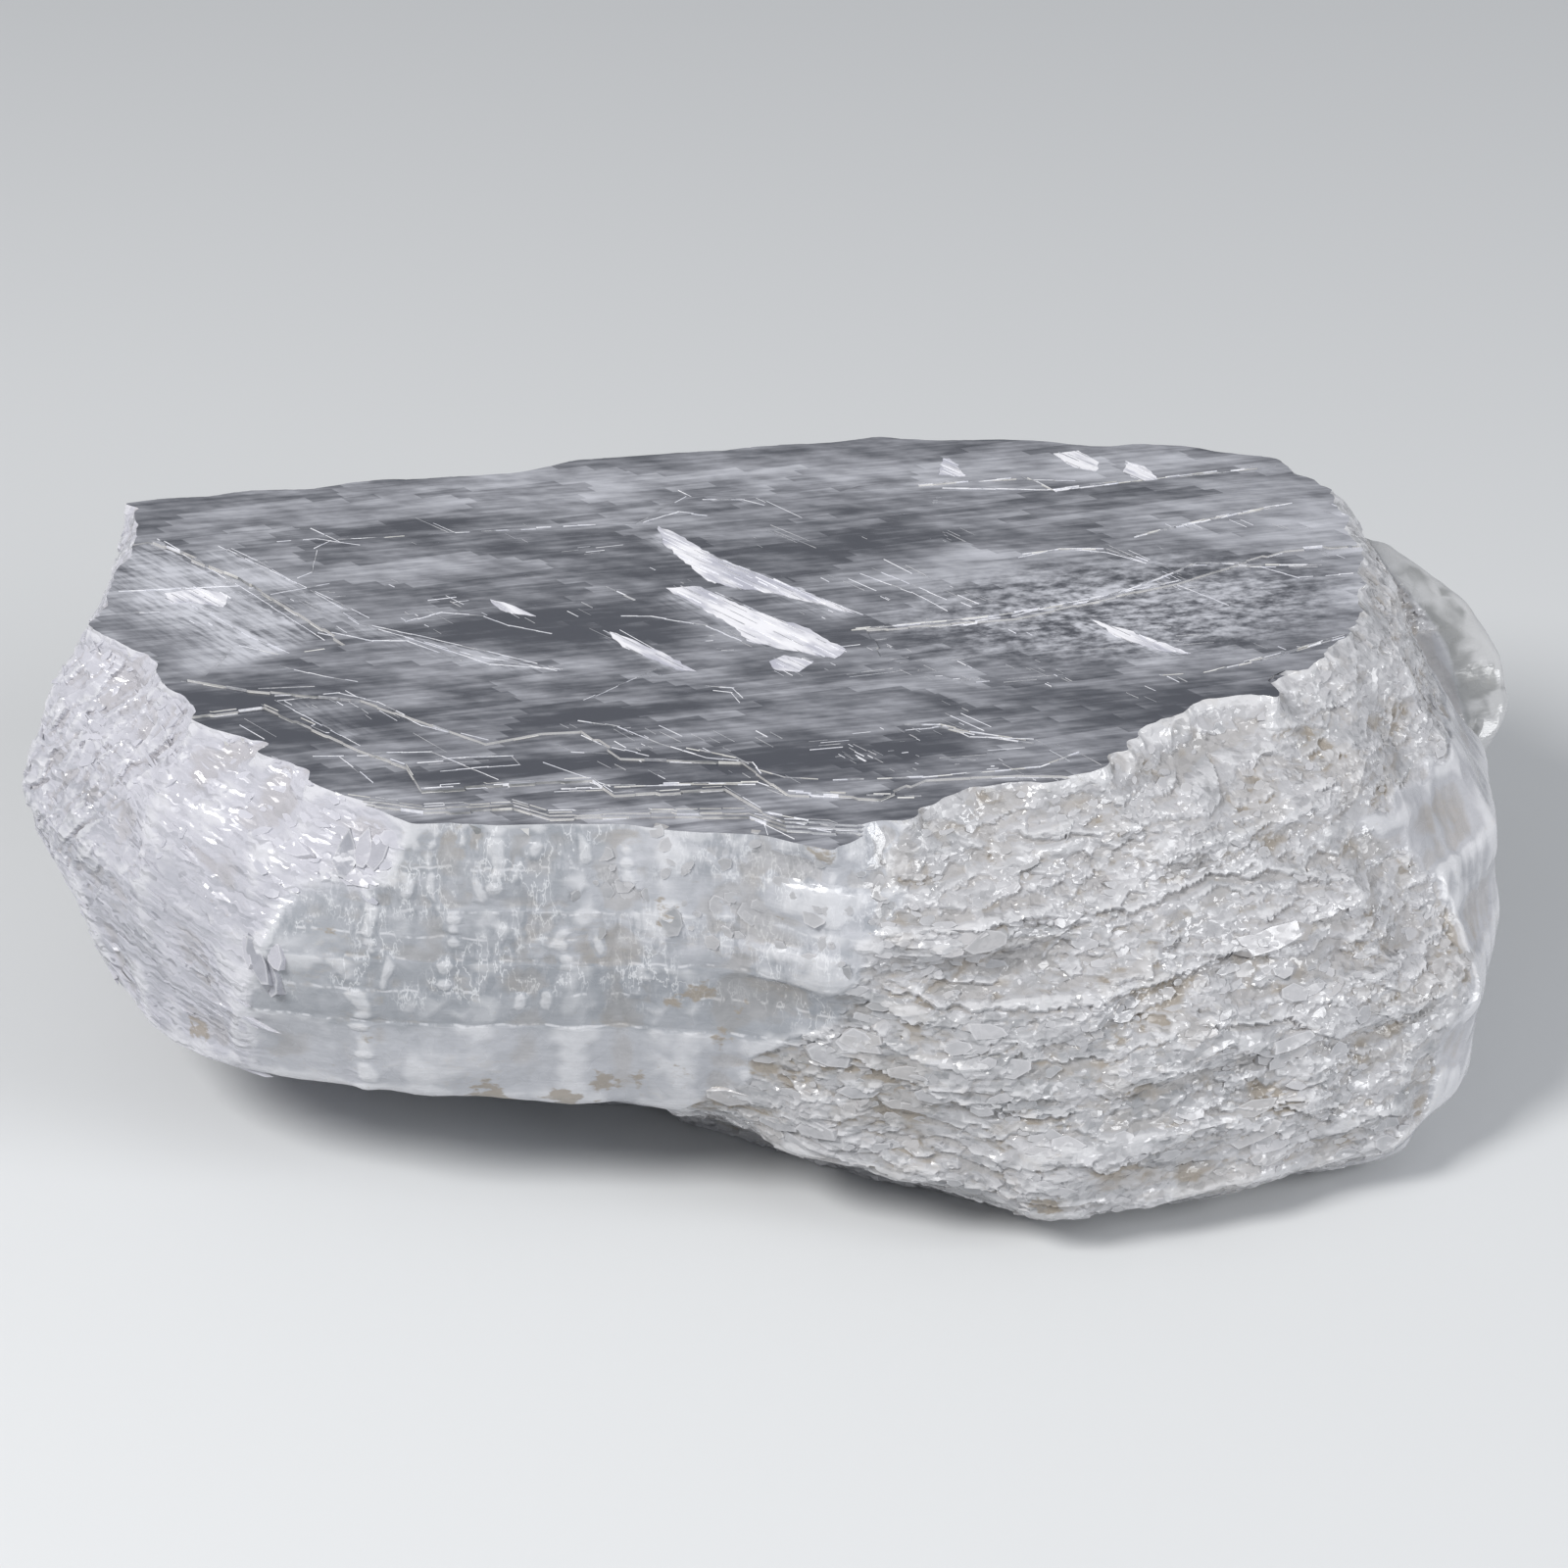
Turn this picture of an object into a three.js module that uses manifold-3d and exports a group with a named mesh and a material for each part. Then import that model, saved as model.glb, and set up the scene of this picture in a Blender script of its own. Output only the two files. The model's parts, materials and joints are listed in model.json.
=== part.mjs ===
// Selenite crystal: a tabular block of clear gypsum, cleaved flat on top, with scaly and fibrous broken
// sides and a smaller crystal grown onto its back right corner. One solid. Millimetres, +Z up.
// X runs along the block, Y across it (the shown side is -Y), and the block rests on its foot at Z = 0.
import * as THREE from 'three';
import { ConvexGeometry } from 'three/addons/geometries/ConvexGeometry.js';
import { mergeVertices } from 'three/addons/utils/BufferGeometryUtils.js';
import Module from 'manifold-3d';

// ---- driving dimensions ----
const TOP = 52; // height of the cleavage face over the foot
const WALL_PITCH = 4.6; // spacing of the upright runs round the walls
const LEDGE = 1.5; // how far a layer of the walls stands out from the next
const LUMP = 1.3; // height of the lumps on the broken walls
const LUMP_SIZE = 6.5; // their width
const RIB = 0.9; // depth of the upright ribs on the glassy front face
const RIM_CHIP = 0.9; // raggedness of the edge of the cleavage face
const TOOTH = 1.3; // raggedness of the cleavage steps
const TOOTH_PITCH = 3;
const COLOUR = 0xdfe3e6;

// The two cleavage traces that the steps of the top face follow, 66 degrees apart.
const TRACE_A = THREE.MathUtils.degToRad(18);
const TRACE_B = THREE.MathUtils.degToRad(-48);

// ---- the walls: upright runs of seven points from the rim down to the foot, counter-clockwise from above ----
// rim, shoulder, girdle, belly, keel, under, foot; rough is how broken the wall is there, from 0 to 1.
const RIM = 0;
const FOOT = 6;
const frontRuns = [
  // left point and fibrous left face
  { rough: 0.2, run: [[-81.3, -9, TOP], [-86, -14, 43], [-89.7, -19, 33.5], [-86, -20.5, 25], [-78.5, -28, 15.5],
    [-71, -17, 6], [-66, -12, 0]] },
  { rough: 0.15, run: [[-74, -16.5, TOP], [-79.7, -24, 43], [-83, -29.7, 33.5], [-81, -31.5, 25],
    [-76.5, -35.5, 15], [-66, -23, 6], [-61, -17, 0]] },
  { rough: 0.15, run: [[-65, -34, TOP], [-70, -39.5, 43], [-73, -42.3, 33.5], [-72, -42.7, 24],
    [-70.3, -44.5, 14], [-60, -30, 6], [-55, -22, 0]] },
  { rough: 0.25, run: [[-51, -48, TOP], [-54, -55.8, 42], [-57.5, -58.5, 35], [-61, -56, 24], [-62, -51.5, 15],
    [-52, -36, 7], [-46, -26, 0]] },
  // glassy front face
  { rough: 0.15, run: [[-39.5, -59.5, TOP], [-41.5, -60.7, 44], [-43, -60.7, 34], [-44, -60.3, 25],
    [-45, -58.7, 16], [-38, -42, 7], [-34, -30, 0]] },
  { rough: 0.15, run: [[-17, -59.5, TOP], [-17.5, -61, 44], [-18, -61, 34], [-18, -60.5, 25], [-18, -58, 14.5],
    [-16, -44, 6.5], [-15, -33, 0]] },
  { rough: 0.45, run: [[-2, -62, TOP], [-3, -62.5, 44], [-5, -62.5, 34], [-6.5, -62, 25], [-8, -58.5, 13.5],
    [-6, -49, 6], [-4, -42, 0]] },
  { rough: 0.8, run: [[5, -65, TOP], [5, -66, 44], [4.5, -66.5, 34], [4, -66, 24], [2, -61.5, 10], [3, -53.5, 4.5],
    [5, -47, 0]] },
  // scaly right front face, flaring out towards its foot
  { rough: 1, run: [[16, -60.5, TOP], [16.5, -64, 43], [16, -67, 33], [15.5, -68, 22], [13, -64, 8],
    [14, -58, 3.5], [16, -52, 0]] },
  { rough: 1, run: [[22, -52.5, TOP], [25, -60, 43], [26, -66, 33], [27, -69.5, 20], [28, -68.5, 5.5], [29, -63.5, 2],
    [30, -57, 0]] },
  { rough: 1, run: [[35.5, -46, TOP], [38, -53.5, 43], [41, -60, 33], [43.5, -65.5, 20], [46, -63.5, 5.5],
    [47, -58, 2], [48, -53, 0]] },
  { rough: 1, run: [[47, -35.5, TOP], [50.5, -44, 43], [54.5, -52, 33], [58, -58.5, 20], [60, -57.5, 6],
    [60, -52, 2], [60, -47, 0]] },
  { rough: 1, run: [[55.5, -29, TOP], [60, -36.5, 43], [65, -44.5, 32], [69.5, -52, 19], [71, -54.5, 7],
    [71, -49.5, 2.5], [67, -42, 0]] },
  { rough: 0.8, run: [[62.5, -20, TOP], [68, -28, 42], [73, -34.5, 31], [79, -42.5, 20], [78.5, -43, 10],
    [75, -38, 4], [71, -32, 0]] },
  // smooth right face, stepped out below its shoulder
  { rough: 0.4, run: [[69.3, -10, TOP], [75, -16, 41], [83, -24, 32], [84, -26.5, 22], [81, -28, 11], [76, -22, 4],
    [72, -18, 0]] },
  { rough: 0.25, run: [[71.3, 2, TOP], [76, -3, 42], [83.3, -4, 32], [83, -4, 22], [79.5, -3, 11], [75, -1, 4],
    [70, 0, 0]] },
  { rough: 0.25, run: [[71.3, 11.5, TOP], [74.5, 13, 43], [79, 15, 32], [79, 17, 22], [75, 17, 11], [71, 15, 4],
    [66, 14, 0]] },
];

// The back runs share one broken profile: outward distance from the rim, and height.
const backRim = [[69.5, 25], [62, 35], [49, 38.5], [31, 40], [12, 41], [-7.5, 38], [-25.5, 34.5], [-46, 28],
  [-67, 25.3], [-80.3, 21.3], [-79, 5]];
const backBearing = [25, 58, 85, 88, 96, 98, 97, 98, 100, 145, 178];
const backProfile = [[0, TOP], [2.6, 43], [5.4, 33], [5.8, 22], [3.2, 11], [-1, 4], [-6, 0]];
const backRough = 0.75;
const backRuns = backRim.map(([x, y], i) => {
  const bearing = THREE.MathUtils.degToRad(backBearing[i]);
  const swell = 1 + 0.35 * Math.sin(i * 2.1);
  const run = backProfile.map(([out, z]) => [
    x + out * swell * Math.cos(bearing),
    y + out * swell * Math.sin(bearing),
    z,
  ]);
  return { rough: backRough, run };
});

// Layers of the walls: each starts at its level, counted in points of a run, and stands out by its own amount.
const layers = [0, 0.42, 0.8, 1.22, 1.6, 2.05, 2.45, 2.9, 3.3, 3.75, 4, 5, 6];
const UNDERSIDE_LAYER = 10;
const LEDGE_SLOPE = 0.05;

// ---- cleavage steps: a line across the top face, the side of it that has flaked away, and how deep ----
const terraces = [
  { // along the front, from the left corner
    depth: 0.6,
    edge: [[-68.5, -26.5], [-60.5, -29.5], [-52.5, -31], [-47.5, -32], [-33, -42.5], [-27, -40], [-22.5, -39.5],
      [-18, -46], [-4.5, -47], [0.5, -54.5], [10.5, -55.5], [15.5, -51], [25.5, -50], [36, -50.5]],
    beyond: [[60, -90], [-90, -90], [-90, -26.5]],
  },
  {
    depth: 1.2,
    edge: [[-67, -35], [-58.5, -32.5], [-47, -43], [-41.5, -47], [-39.5, -52.5], [-30, -51], [-21, -50],
      [-18.5, -53.5], [-6.5, -52], [-2.5, -57], [-1, -67]],
    beyond: [[-1, -90], [-90, -90], [-90, -35]],
  },
  {
    depth: 2,
    edge: [[-50, -52.5], [-39, -55.5], [-29.5, -54.5], [-25.5, -57], [-17, -56.5], [-4, -56.5], [0, -59.5],
      [10.5, -60.5], [14, -63]],
    beyond: [[14, -90], [-60, -90]],
  },
  { // along the back
    depth: 0.5,
    edge: [[66, 33.5], [44, 27.5], [30.5, 28], [9.5, 26.5], [7, 24.5], [-12, 23], [-18, 15], [-30, 14.5],
      [-53.5, 10], [-57.5, 14], [-72, 11.5], [-83, 7.5]],
    beyond: [[-95, 60], [80, 60]],
  },
  { // the milky left corner
    depth: 0.8,
    edge: [[-83, 8], [-76.5, 10.5], [-64.5, 0], [-58.5, -7.5], [-50.5, -18], [-58, -20.5], [-63, -18],
      [-66, -26.5], [-72, -27.5]],
    beyond: [[-95, -27.5], [-95, 8]],
  },
  { // one thin flake off the right half
    depth: 0.45,
    edge: [[75, -14], [68, -13.5], [48, -25], [22, -29], [11, -21], [9.5, -14], [27, -11], [46.5, -1.5],
      [60, 7.5], [76, 10.5]],
    beyond: [[90, 10.5], [90, -14]],
  },
];

// ---- the smaller crystal on the back right corner: its corners, inside the block on the left ----
const lobeCorners = [[69, 20, 47], [74.5, 24, 45], [79, 21.5, 42.8], [84.3, 18, 39.8], [88, 12, 35.3],
  [88.8, 9, 31], [87.5, 5, 29], [84.5, 3, 27], [82, 6, 18], [83, 20, 17], [78, 31, 20], [80, 30, 37],
  [71, 34, 41], [60, 33, 40], [60, 5, 38], [60, 5, 18], [62, 30, 18]];

// ---- noise: smooth between whole-number lattice points, the same on every run ----
function lattice(i, j, k) {
  let bits = Math.imul(i, 374761393) ^ Math.imul(j, 668265263) ^ Math.imul(k, 1442695041);
  bits = Math.imul(bits ^ (bits >>> 13), 1274126177);
  return ((bits ^ (bits >>> 16)) >>> 0) / 2147483647.5 - 1;
}

function noise(x, y, z) {
  const cell = [x, y, z].map(Math.floor);
  const ease = [x, y, z].map((v, n) => THREE.MathUtils.smoothstep(v - cell[n], 0, 1));
  let sum = 0;
  for (let corner = 0; corner < 8; corner += 1) {
    const step = [corner & 1, (corner >> 1) & 1, corner >> 2];
    const weight = step.reduce((w, s, n) => w * (s ? ease[n] : 1 - ease[n]), 1);
    sum += weight * lattice(cell[0] + step[0], cell[1] + step[1], cell[2] + step[2]);
  }
  return sum;
}

// ---- the block: runs joined round the walls and layered downwards ----
function pointOnRun(run, level) {
  const above = Math.min(Math.floor(level), FOOT - 1);
  const from = new THREE.Vector3(...run[above]);
  return from.lerp(new THREE.Vector3(...run[above + 1]), level - above);
}

function wallColumns() {
  const runs = [...frontRuns, ...backRuns];
  const columns = [];
  runs.forEach((here, i) => {
    const next = runs[(i + 1) % runs.length];
    const width = pointOnRun(here.run, 2).distanceTo(pointOnRun(next.run, 2));
    const steps = Math.max(1, Math.round(width / WALL_PITCH));
    for (let s = 0; s < steps; s += 1) {
      const t = s / steps;
      columns.push({
        rough: THREE.MathUtils.lerp(here.rough, next.rough, t),
        at: (level) => pointOnRun(here.run, level).lerp(pointOnRun(next.run, level), t),
      });
    }
  });
  return columns;
}

// Two rows close together make each ledge, and tall layers get one more row between.
function wallRows() {
  const rows = [{ level: RIM, layer: 0 }];
  for (let layer = 0; layer < layers.length - 1; layer += 1) {
    rows.push({ level: (layers[layer] + layers[layer + 1]) / 2, layer });
    if (layers[layer + 1] < FOOT) {
      rows.push({ level: layers[layer + 1] - LEDGE_SLOPE, layer });
      rows.push({ level: layers[layer + 1], layer: layer + 1 });
    }
  }
  rows.push({ level: FOOT, layer: layers.length - 2 });
  return rows;
}

function wallOutward(columns, c, level) {
  const before = columns[(c + columns.length - 1) % columns.length].at(level);
  const after = columns[(c + 1) % columns.length].at(level);
  const down = columns[c].at(Math.min(level + 0.4, FOOT)).sub(columns[c].at(Math.max(level - 0.4, RIM)));
  return down.cross(after.sub(before)).normalize();
}

function wallRelief(p, rough, row) {
  const ledge = LEDGE * noise(p.x / 16, p.y / 16, row.layer * 7.3);
  const lump = LUMP * noise(p.x / LUMP_SIZE, p.y / LUMP_SIZE, (p.z / LUMP_SIZE) * 1.3);
  const ribs = RIB * noise(p.x / 4, p.y / 4, 40) * (1 - rough);
  return rough * (row.layer < UNDERSIDE_LAYER ? ledge + lump : lump) + ribs;
}

function blockGeometry() {
  const columns = wallColumns();
  const rows = wallRows();
  const points = [];
  rows.forEach((row) => {
    columns.forEach((column, c) => {
      const p = column.at(row.level);
      const out = wallOutward(columns, c, row.level);
      let relief = wallRelief(p, column.rough, row);
      if (row.level === RIM || row.level === FOOT) {
        out.setZ(0).normalize();
        relief = RIM_CHIP * noise(p.x / 3, p.y / 3, row.level);
      }
      p.addScaledVector(out, relief);
      p.z = Math.max(row.level === FOOT ? 0 : 0.2, Math.min(p.z, TOP));
      points.push(p);
    });
  });

  const count = columns.length;
  const index = [];
  for (let r = 0; r < rows.length - 1; r += 1) {
    for (let c = 0; c < count; c += 1) {
      const a = r * count + c;
      const b = r * count + ((c + 1) % count);
      index.push(a, a + count, b, b, a + count, b + count);
    }
  }
  const rim = points.slice(0, count).map((p) => new THREE.Vector2(p.x, p.y));
  THREE.ShapeUtils.triangulateShape(rim, []).forEach((tri) => index.push(...tri));
  const footStart = (rows.length - 1) * count;
  const foot = points.slice(footStart).map((p) => new THREE.Vector2(p.x, p.y));
  THREE.ShapeUtils.triangulateShape(foot, []).forEach(([a, b, c]) => {
    index.push(footStart + a, footStart + c, footStart + b);
  });

  const geometry = new THREE.BufferGeometry().setFromPoints(points);
  geometry.setIndex(index);
  return geometry;
}

// ---- a cleavage step: the line gets teeth along the other trace, and all beyond it is cut to the step ----
function toothed(edge) {
  const line = [];
  for (let i = 0; i < edge.length - 1; i += 1) {
    const from = new THREE.Vector2(...edge[i]);
    const to = new THREE.Vector2(...edge[i + 1]);
    const along = to.clone().sub(from);
    const slope = Math.atan2(along.y * Math.sign(along.x), Math.abs(along.x));
    const other = Math.abs(slope - TRACE_A) < Math.abs(slope - TRACE_B) ? TRACE_B : TRACE_A;
    const tooth = new THREE.Vector2(Math.cos(other), Math.sin(other));
    const steps = Math.max(1, Math.round(along.length() / TOOTH_PITCH));
    for (let s = 0; s < steps; s += 1) {
      const clearOfCorners = s > 0 && s < steps - 1;
      const reach = clearOfCorners ? TOOTH * noise(edge[i][0] * 1.7 + s * 5.3, edge[i][1] * 1.3, 5) : 0;
      line.push(from.clone().addScaledVector(along, s / steps).addScaledVector(tooth, reach));
      line.push(from.clone().addScaledVector(along, (s + 0.9) / steps).addScaledVector(tooth, reach));
    }
  }
  return line;
}

function terraceCut({ depth, edge, beyond }) {
  const outline = [...toothed(edge), ...beyond.map(([x, y]) => new THREE.Vector2(x, y))];
  const cut = new THREE.ExtrudeGeometry(new THREE.Shape(outline), { depth: 10, bevelEnabled: false });
  return cut.translate(0, 0, TOP - depth);
}

// ---- join, cut, and centre over the foot ----
const wasm = await Module();
wasm.setup();

function toSolid(geometry) {
  geometry.deleteAttribute('normal');
  geometry.deleteAttribute('uv');
  const merged = mergeVertices(geometry, 1e-4);
  return new wasm.Manifold(new wasm.Mesh({
    numProp: 3,
    vertProperties: new Float32Array(merged.attributes.position.array),
    triVerts: new Uint32Array(merged.index.array),
  }));
}

function toGeometry(solid) {
  const { vertProperties, triVerts } = solid.getMesh();
  const geometry = new THREE.BufferGeometry();
  geometry.setAttribute('position', new THREE.BufferAttribute(vertProperties, 3));
  geometry.setIndex(new THREE.BufferAttribute(triVerts, 1));
  return geometry;
}

function crystalGeometry() {
  const lobe = new ConvexGeometry(lobeCorners.map((corner) => new THREE.Vector3(...corner)));
  let solid = toSolid(blockGeometry()).add(toSolid(lobe));
  terraces.forEach((terrace) => {
    solid = solid.subtract(toSolid(terraceCut(terrace)));
  });
  const geometry = toGeometry(solid);
  geometry.computeBoundingBox();
  const middle = geometry.boundingBox.getCenter(new THREE.Vector3());
  geometry.translate(-middle.x, -middle.y, -geometry.boundingBox.min.z);
  geometry.computeVertexNormals();
  return geometry;
}

const crystal = new THREE.Mesh(
  crystalGeometry(),
  new THREE.MeshStandardMaterial({ color: COLOUR, roughness: 0.3, metalness: 0 }),
);
crystal.name = 'selenite_crystal';

const part = new THREE.Group();
part.add(crystal);

export default part;
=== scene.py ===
import json
import math
import random

import bmesh
import bpy
import numpy as np
from mathutils import Matrix, Vector, noise

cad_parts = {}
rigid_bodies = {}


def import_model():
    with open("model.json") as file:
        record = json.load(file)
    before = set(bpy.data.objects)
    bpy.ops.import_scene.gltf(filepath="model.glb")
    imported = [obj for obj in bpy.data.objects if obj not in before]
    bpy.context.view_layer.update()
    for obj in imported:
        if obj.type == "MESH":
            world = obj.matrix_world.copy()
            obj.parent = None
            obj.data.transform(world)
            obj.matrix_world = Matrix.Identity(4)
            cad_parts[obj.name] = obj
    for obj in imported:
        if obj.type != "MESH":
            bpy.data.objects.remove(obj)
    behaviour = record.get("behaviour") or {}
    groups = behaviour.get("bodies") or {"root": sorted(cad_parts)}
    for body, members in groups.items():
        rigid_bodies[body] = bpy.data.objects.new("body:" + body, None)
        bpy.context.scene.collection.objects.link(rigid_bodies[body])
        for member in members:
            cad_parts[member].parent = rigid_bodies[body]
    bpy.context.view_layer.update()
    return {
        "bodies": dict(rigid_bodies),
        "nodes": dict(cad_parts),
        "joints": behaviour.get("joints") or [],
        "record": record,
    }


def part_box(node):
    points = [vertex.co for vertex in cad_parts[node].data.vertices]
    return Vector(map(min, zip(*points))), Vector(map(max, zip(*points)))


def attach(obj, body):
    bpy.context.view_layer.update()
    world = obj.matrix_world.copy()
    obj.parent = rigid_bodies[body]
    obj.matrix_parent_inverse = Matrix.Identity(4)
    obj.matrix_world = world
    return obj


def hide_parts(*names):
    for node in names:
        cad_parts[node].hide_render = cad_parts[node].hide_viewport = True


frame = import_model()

# A slab of selenite: a clear, stepped cleavage face on top, glassy and fibrous cleavages at the front and
# left, a satin facet on the right, and broken, scaly selenite round the rest.
MM = 0.001
NODE = "selenite_crystal"
low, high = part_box(NODE)
TOP = high[2]
FOOT = low[2]
# the cleavage face lies this far below the topmost splinters
SPLINTER = 0.3 * MM
FACE = TOP - SPLINTER
# the crystal's own axes: their origin, and the two cleavage traces that run across the top face
ORIGIN = Vector((0.43, 10.38, 0)) * MM
TRACE_A = math.radians(18)
TRACE_B = math.radians(-48)
# seeded, so that the crystal breaks the same way in every run
NOISE_SEED = 4
noise.seed_set(NOISE_SEED)

# ---- camera ----
ELEVATION = math.radians(28)
VIEW_DISTANCE = 0.5806
AIM_HEIGHT = 24 * MM
aim = ORIGIN + Vector((0, 0, AIM_HEIGHT))
camera_data = bpy.data.cameras.new("view")
camera_data.lens = 110
camera_data.sensor_width = 36
camera = bpy.data.objects.new("view", camera_data)
bpy.context.collection.objects.link(camera)
camera.location = aim + VIEW_DISTANCE * Vector((0, -math.cos(ELEVATION), math.sin(ELEVATION)))
camera.rotation_euler = (math.pi / 2 - ELEVATION, 0, 0)
bpy.context.scene.camera = camera


# ---- helpers for shapes ----
def noise_at(x, y, z):
    return noise.noise(Vector((x, y, z)))


def lumpy(p, size, height, seed=0):
    """Noise whose lumps are size wide and height tall, at a place in millimetres."""
    return noise_at(p.x / size, p.y / size, p.z / height + seed)


def heading(turn):
    return Vector((math.cos(turn), math.sin(turn)))


def side_of(start, end):
    """The way out sideways from a line across the top."""
    return Vector((start.y - end.y, end.x - start.x)).normalized()


def prism(work, outline, floor_z, height):
    """An outline in millimetres across the top, raised into a solid."""
    verts = [work.verts.new((x * MM + ORIGIN.x, y * MM + ORIGIN.y, floor_z)) for x, y in outline]
    grown = bmesh.ops.extrude_face_region(work, geom=[work.faces.new(verts)])
    lifted = [g for g in grown["geom"] if isinstance(g, bmesh.types.BMVert)]
    bmesh.ops.translate(work, verts=lifted, vec=(0, 0, height))


def mesh_of(name, work):
    """A mesh made from a bmesh, which is let go."""
    mesh = bpy.data.meshes.new(name)
    work.to_mesh(mesh)
    work.free()
    return mesh


def evaluated_mesh(thing):
    return bpy.data.meshes.new_from_object(thing.evaluated_get(bpy.context.evaluated_depsgraph_get()))


def new_object(name, mesh):
    thing = bpy.data.objects.new(name, mesh)
    bpy.context.collection.objects.link(thing)
    return thing


def finished_mesh(thing):
    """Applies an object's modifiers, and hands back the mesh alone."""
    mesh = evaluated_mesh(thing)
    bpy.data.objects.remove(thing)
    return mesh


def ease(value, start, end):
    t = min(max((value - start) / (end - start), 0.0), 1.0)
    return t * t * (3 - 2 * t)


def along_line(line, x):
    """Height of a line of (x, height) points at x, held level past its ends."""
    for (x0, z0), (x1, z1) in zip(line, line[1:]):
        if x <= x1:
            return z0 + (z1 - z0) * min(max((x - x0) / (x1 - x0), 0), 1)
    return line[-1][1]


# ---- the block's mesh ----
# the lowest step of the top lies less than this far down
STEPS_REACH = 2.2 * MM
REMESH = 0.42 * MM
SOFTENING = 24
# how proud the blank stands before it is cleaved
PROUD = 3 * MM
MOST_FACES = 186000


def grown_blank():
    """The CAD solid, standing proud at top and foot so that both can be cleaved flat later."""
    work = bmesh.new()
    work.from_mesh(frame["nodes"][NODE].data)
    bmesh.ops.remove_doubles(work, verts=work.verts, dist=0.002 * MM)
    for vert in work.verts:
        if vert.co.z > TOP - STEPS_REACH:
            vert.co.z = TOP + PROUD
        elif vert.co.z < FOOT + 0.1 * MM:
            vert.co.z = FOOT - PROUD
    blank = new_object("blank", mesh_of("blank", work))
    remesh = blank.modifiers.new("even", "REMESH")
    remesh.mode = "VOXEL"
    remesh.voxel_size = REMESH
    soften = blank.modifiers.new("soften", "SMOOTH")
    soften.iterations = SOFTENING
    return finished_mesh(blank)


def vertex_array(mesh, name):
    values = np.empty(len(mesh.vertices) * 3)
    mesh.vertices.foreach_get(name, values)
    return values.reshape(-1, 3)


def smoothed(mesh, values, rounds):
    """Each vertex's value averaged with its neighbours', a number of times."""
    count = len(mesh.vertices)
    edges = np.empty(len(mesh.edges) * 2, dtype=np.int64)
    mesh.edges.foreach_get("vertices", edges)
    a, b = edges.reshape(-1, 2).T
    share = 1 + np.bincount(a, minlength=count) + np.bincount(b, minlength=count)
    for _ in range(rounds):
        total = values.copy()
        for axis in range(3):
            total[:, axis] += np.bincount(a, values[b, axis], count) + np.bincount(b, values[a, axis], count)
        values = total / share[:, None]
    return values


def broad_normals(mesh, rounds):
    normals = smoothed(mesh, vertex_array(mesh, "normal"), rounds)
    return normals / (np.linalg.norm(normals, axis=1)[:, None] + 1e-12)


# ---- the kinds of surface round the wall ----
# x of the line where the glassy front gives way to scales, at each height
GLASSY_END = [(0, -16), (17, -9), (24, -2), (29, 4), (36, 8), (46, 12), (52, 14)]
# height of the ragged lip over the satin facet
SATIN_LIP = 38.5
# long sinuous ledges in the scales: (x, height) along each
LEDGES = [
    [(33, 39.6), (38.3, 38.2), (42, 38.9), (48, 39.2), (55, 37.6), (64, 34.6)], [(10.5, 34.3), (17, 32.4),
    (30.5, 31.3), (37.7, 31.2), (44.5, 31.9), (52, 32)], [(14.5, 41.4), (22, 40.3), (27.6, 40.4),
    (33, 38.9)], [(14, 22.6), (20, 20), (26, 18.8), (33, 19.2)], [(45, 27.6), (50.6, 26.3), (56.3, 24.8),
    (62, 21)], [(45, 33.4), (48.6, 32.2), (56, 30.2)], [(46, 17), (54.3, 15.3), (61.5, 13.2)],
    [(24.5, 47.6), (30, 46.5), (36, 45.9)], [(2, 12), (12, 9), (24, 8.5), (36, 7)],
]
# y of the near edge of the satin facet at each height
SATIN_EDGE = [(5, -52), (17, -46), (25, -37), (32, -33), (37, -35.5), (41, -37)]
KINDS = ("fibrous", "glassy", "satin", "lobe", "scaly")


def zones(p, bearing):
    """Shares of the fibrous left face, glassy front, satin facet, lobe and broken scales at a place."""
    left = ease(-bearing, 106, 118) * ease(-p.x, 38, 44) if bearing < 0 else ease(bearing, 150, 165)
    ragged = 3.5 * lumpy(p, 4, 3)
    front_end = along_line(GLASSY_END, p.z) + ragged
    front = (1 - left) * ease(-bearing, 15, 30) * (1 - ease(p.x, front_end - 1, front_end + 1))
    satin = ease(p.y - along_line(SATIN_EDGE, p.z), -0.7, 0.7) * (1 - ease(bearing, 55, 70))
    satin *= ease(p.x, 62, 66) * (1 - ease(p.z + 0.4 * ragged, SATIN_LIP - 0.8, SATIN_LIP))
    lobe = ease(0.97 * p.x + 0.243 * p.y + 6.5 * ease(p.z, 36, 48), 80.8, 81.6) * ease(p.y, 0, 1.5)
    satin *= 1 - lobe
    return left, front, satin, lobe, max(0.0, 1 - left - front - satin - lobe)


# ---- relief of each kind of surface, in millimetres ----
def bent_cells(p, width, height, bend, bending):
    """A place among bent cells, and the centres of the cells nearest to it."""
    here = Vector((p.x / width, p.y / width, p.z / height))
    here += bend * noise.noise_vector(here * bending)
    return here, noise.voronoi(here)[1]


def cell_height(here, centre, tilt, hang):
    """Height of one cell's face, which is tilted its own way and hangs out at its lower lip."""
    away = here - centre
    lean = (noise.cell_vector(centre * 17.3) - Vector((0.5, 0.5, 0.5))) * tilt
    return 0.5 * noise.cell(centre * 9.1) + away.dot(lean) - away.z * hang


def scoops(p, width, height, tilt=1.0, hang=0.3):
    """Shallow scooped-out flakes that meet in sharp ridges."""
    here, centres = bent_cells(p, width, height, 0.3, 0.7)
    return min(cell_height(here, c, tilt, hang) + 0.7 * (here - c).length_squared for c in centres)


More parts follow.
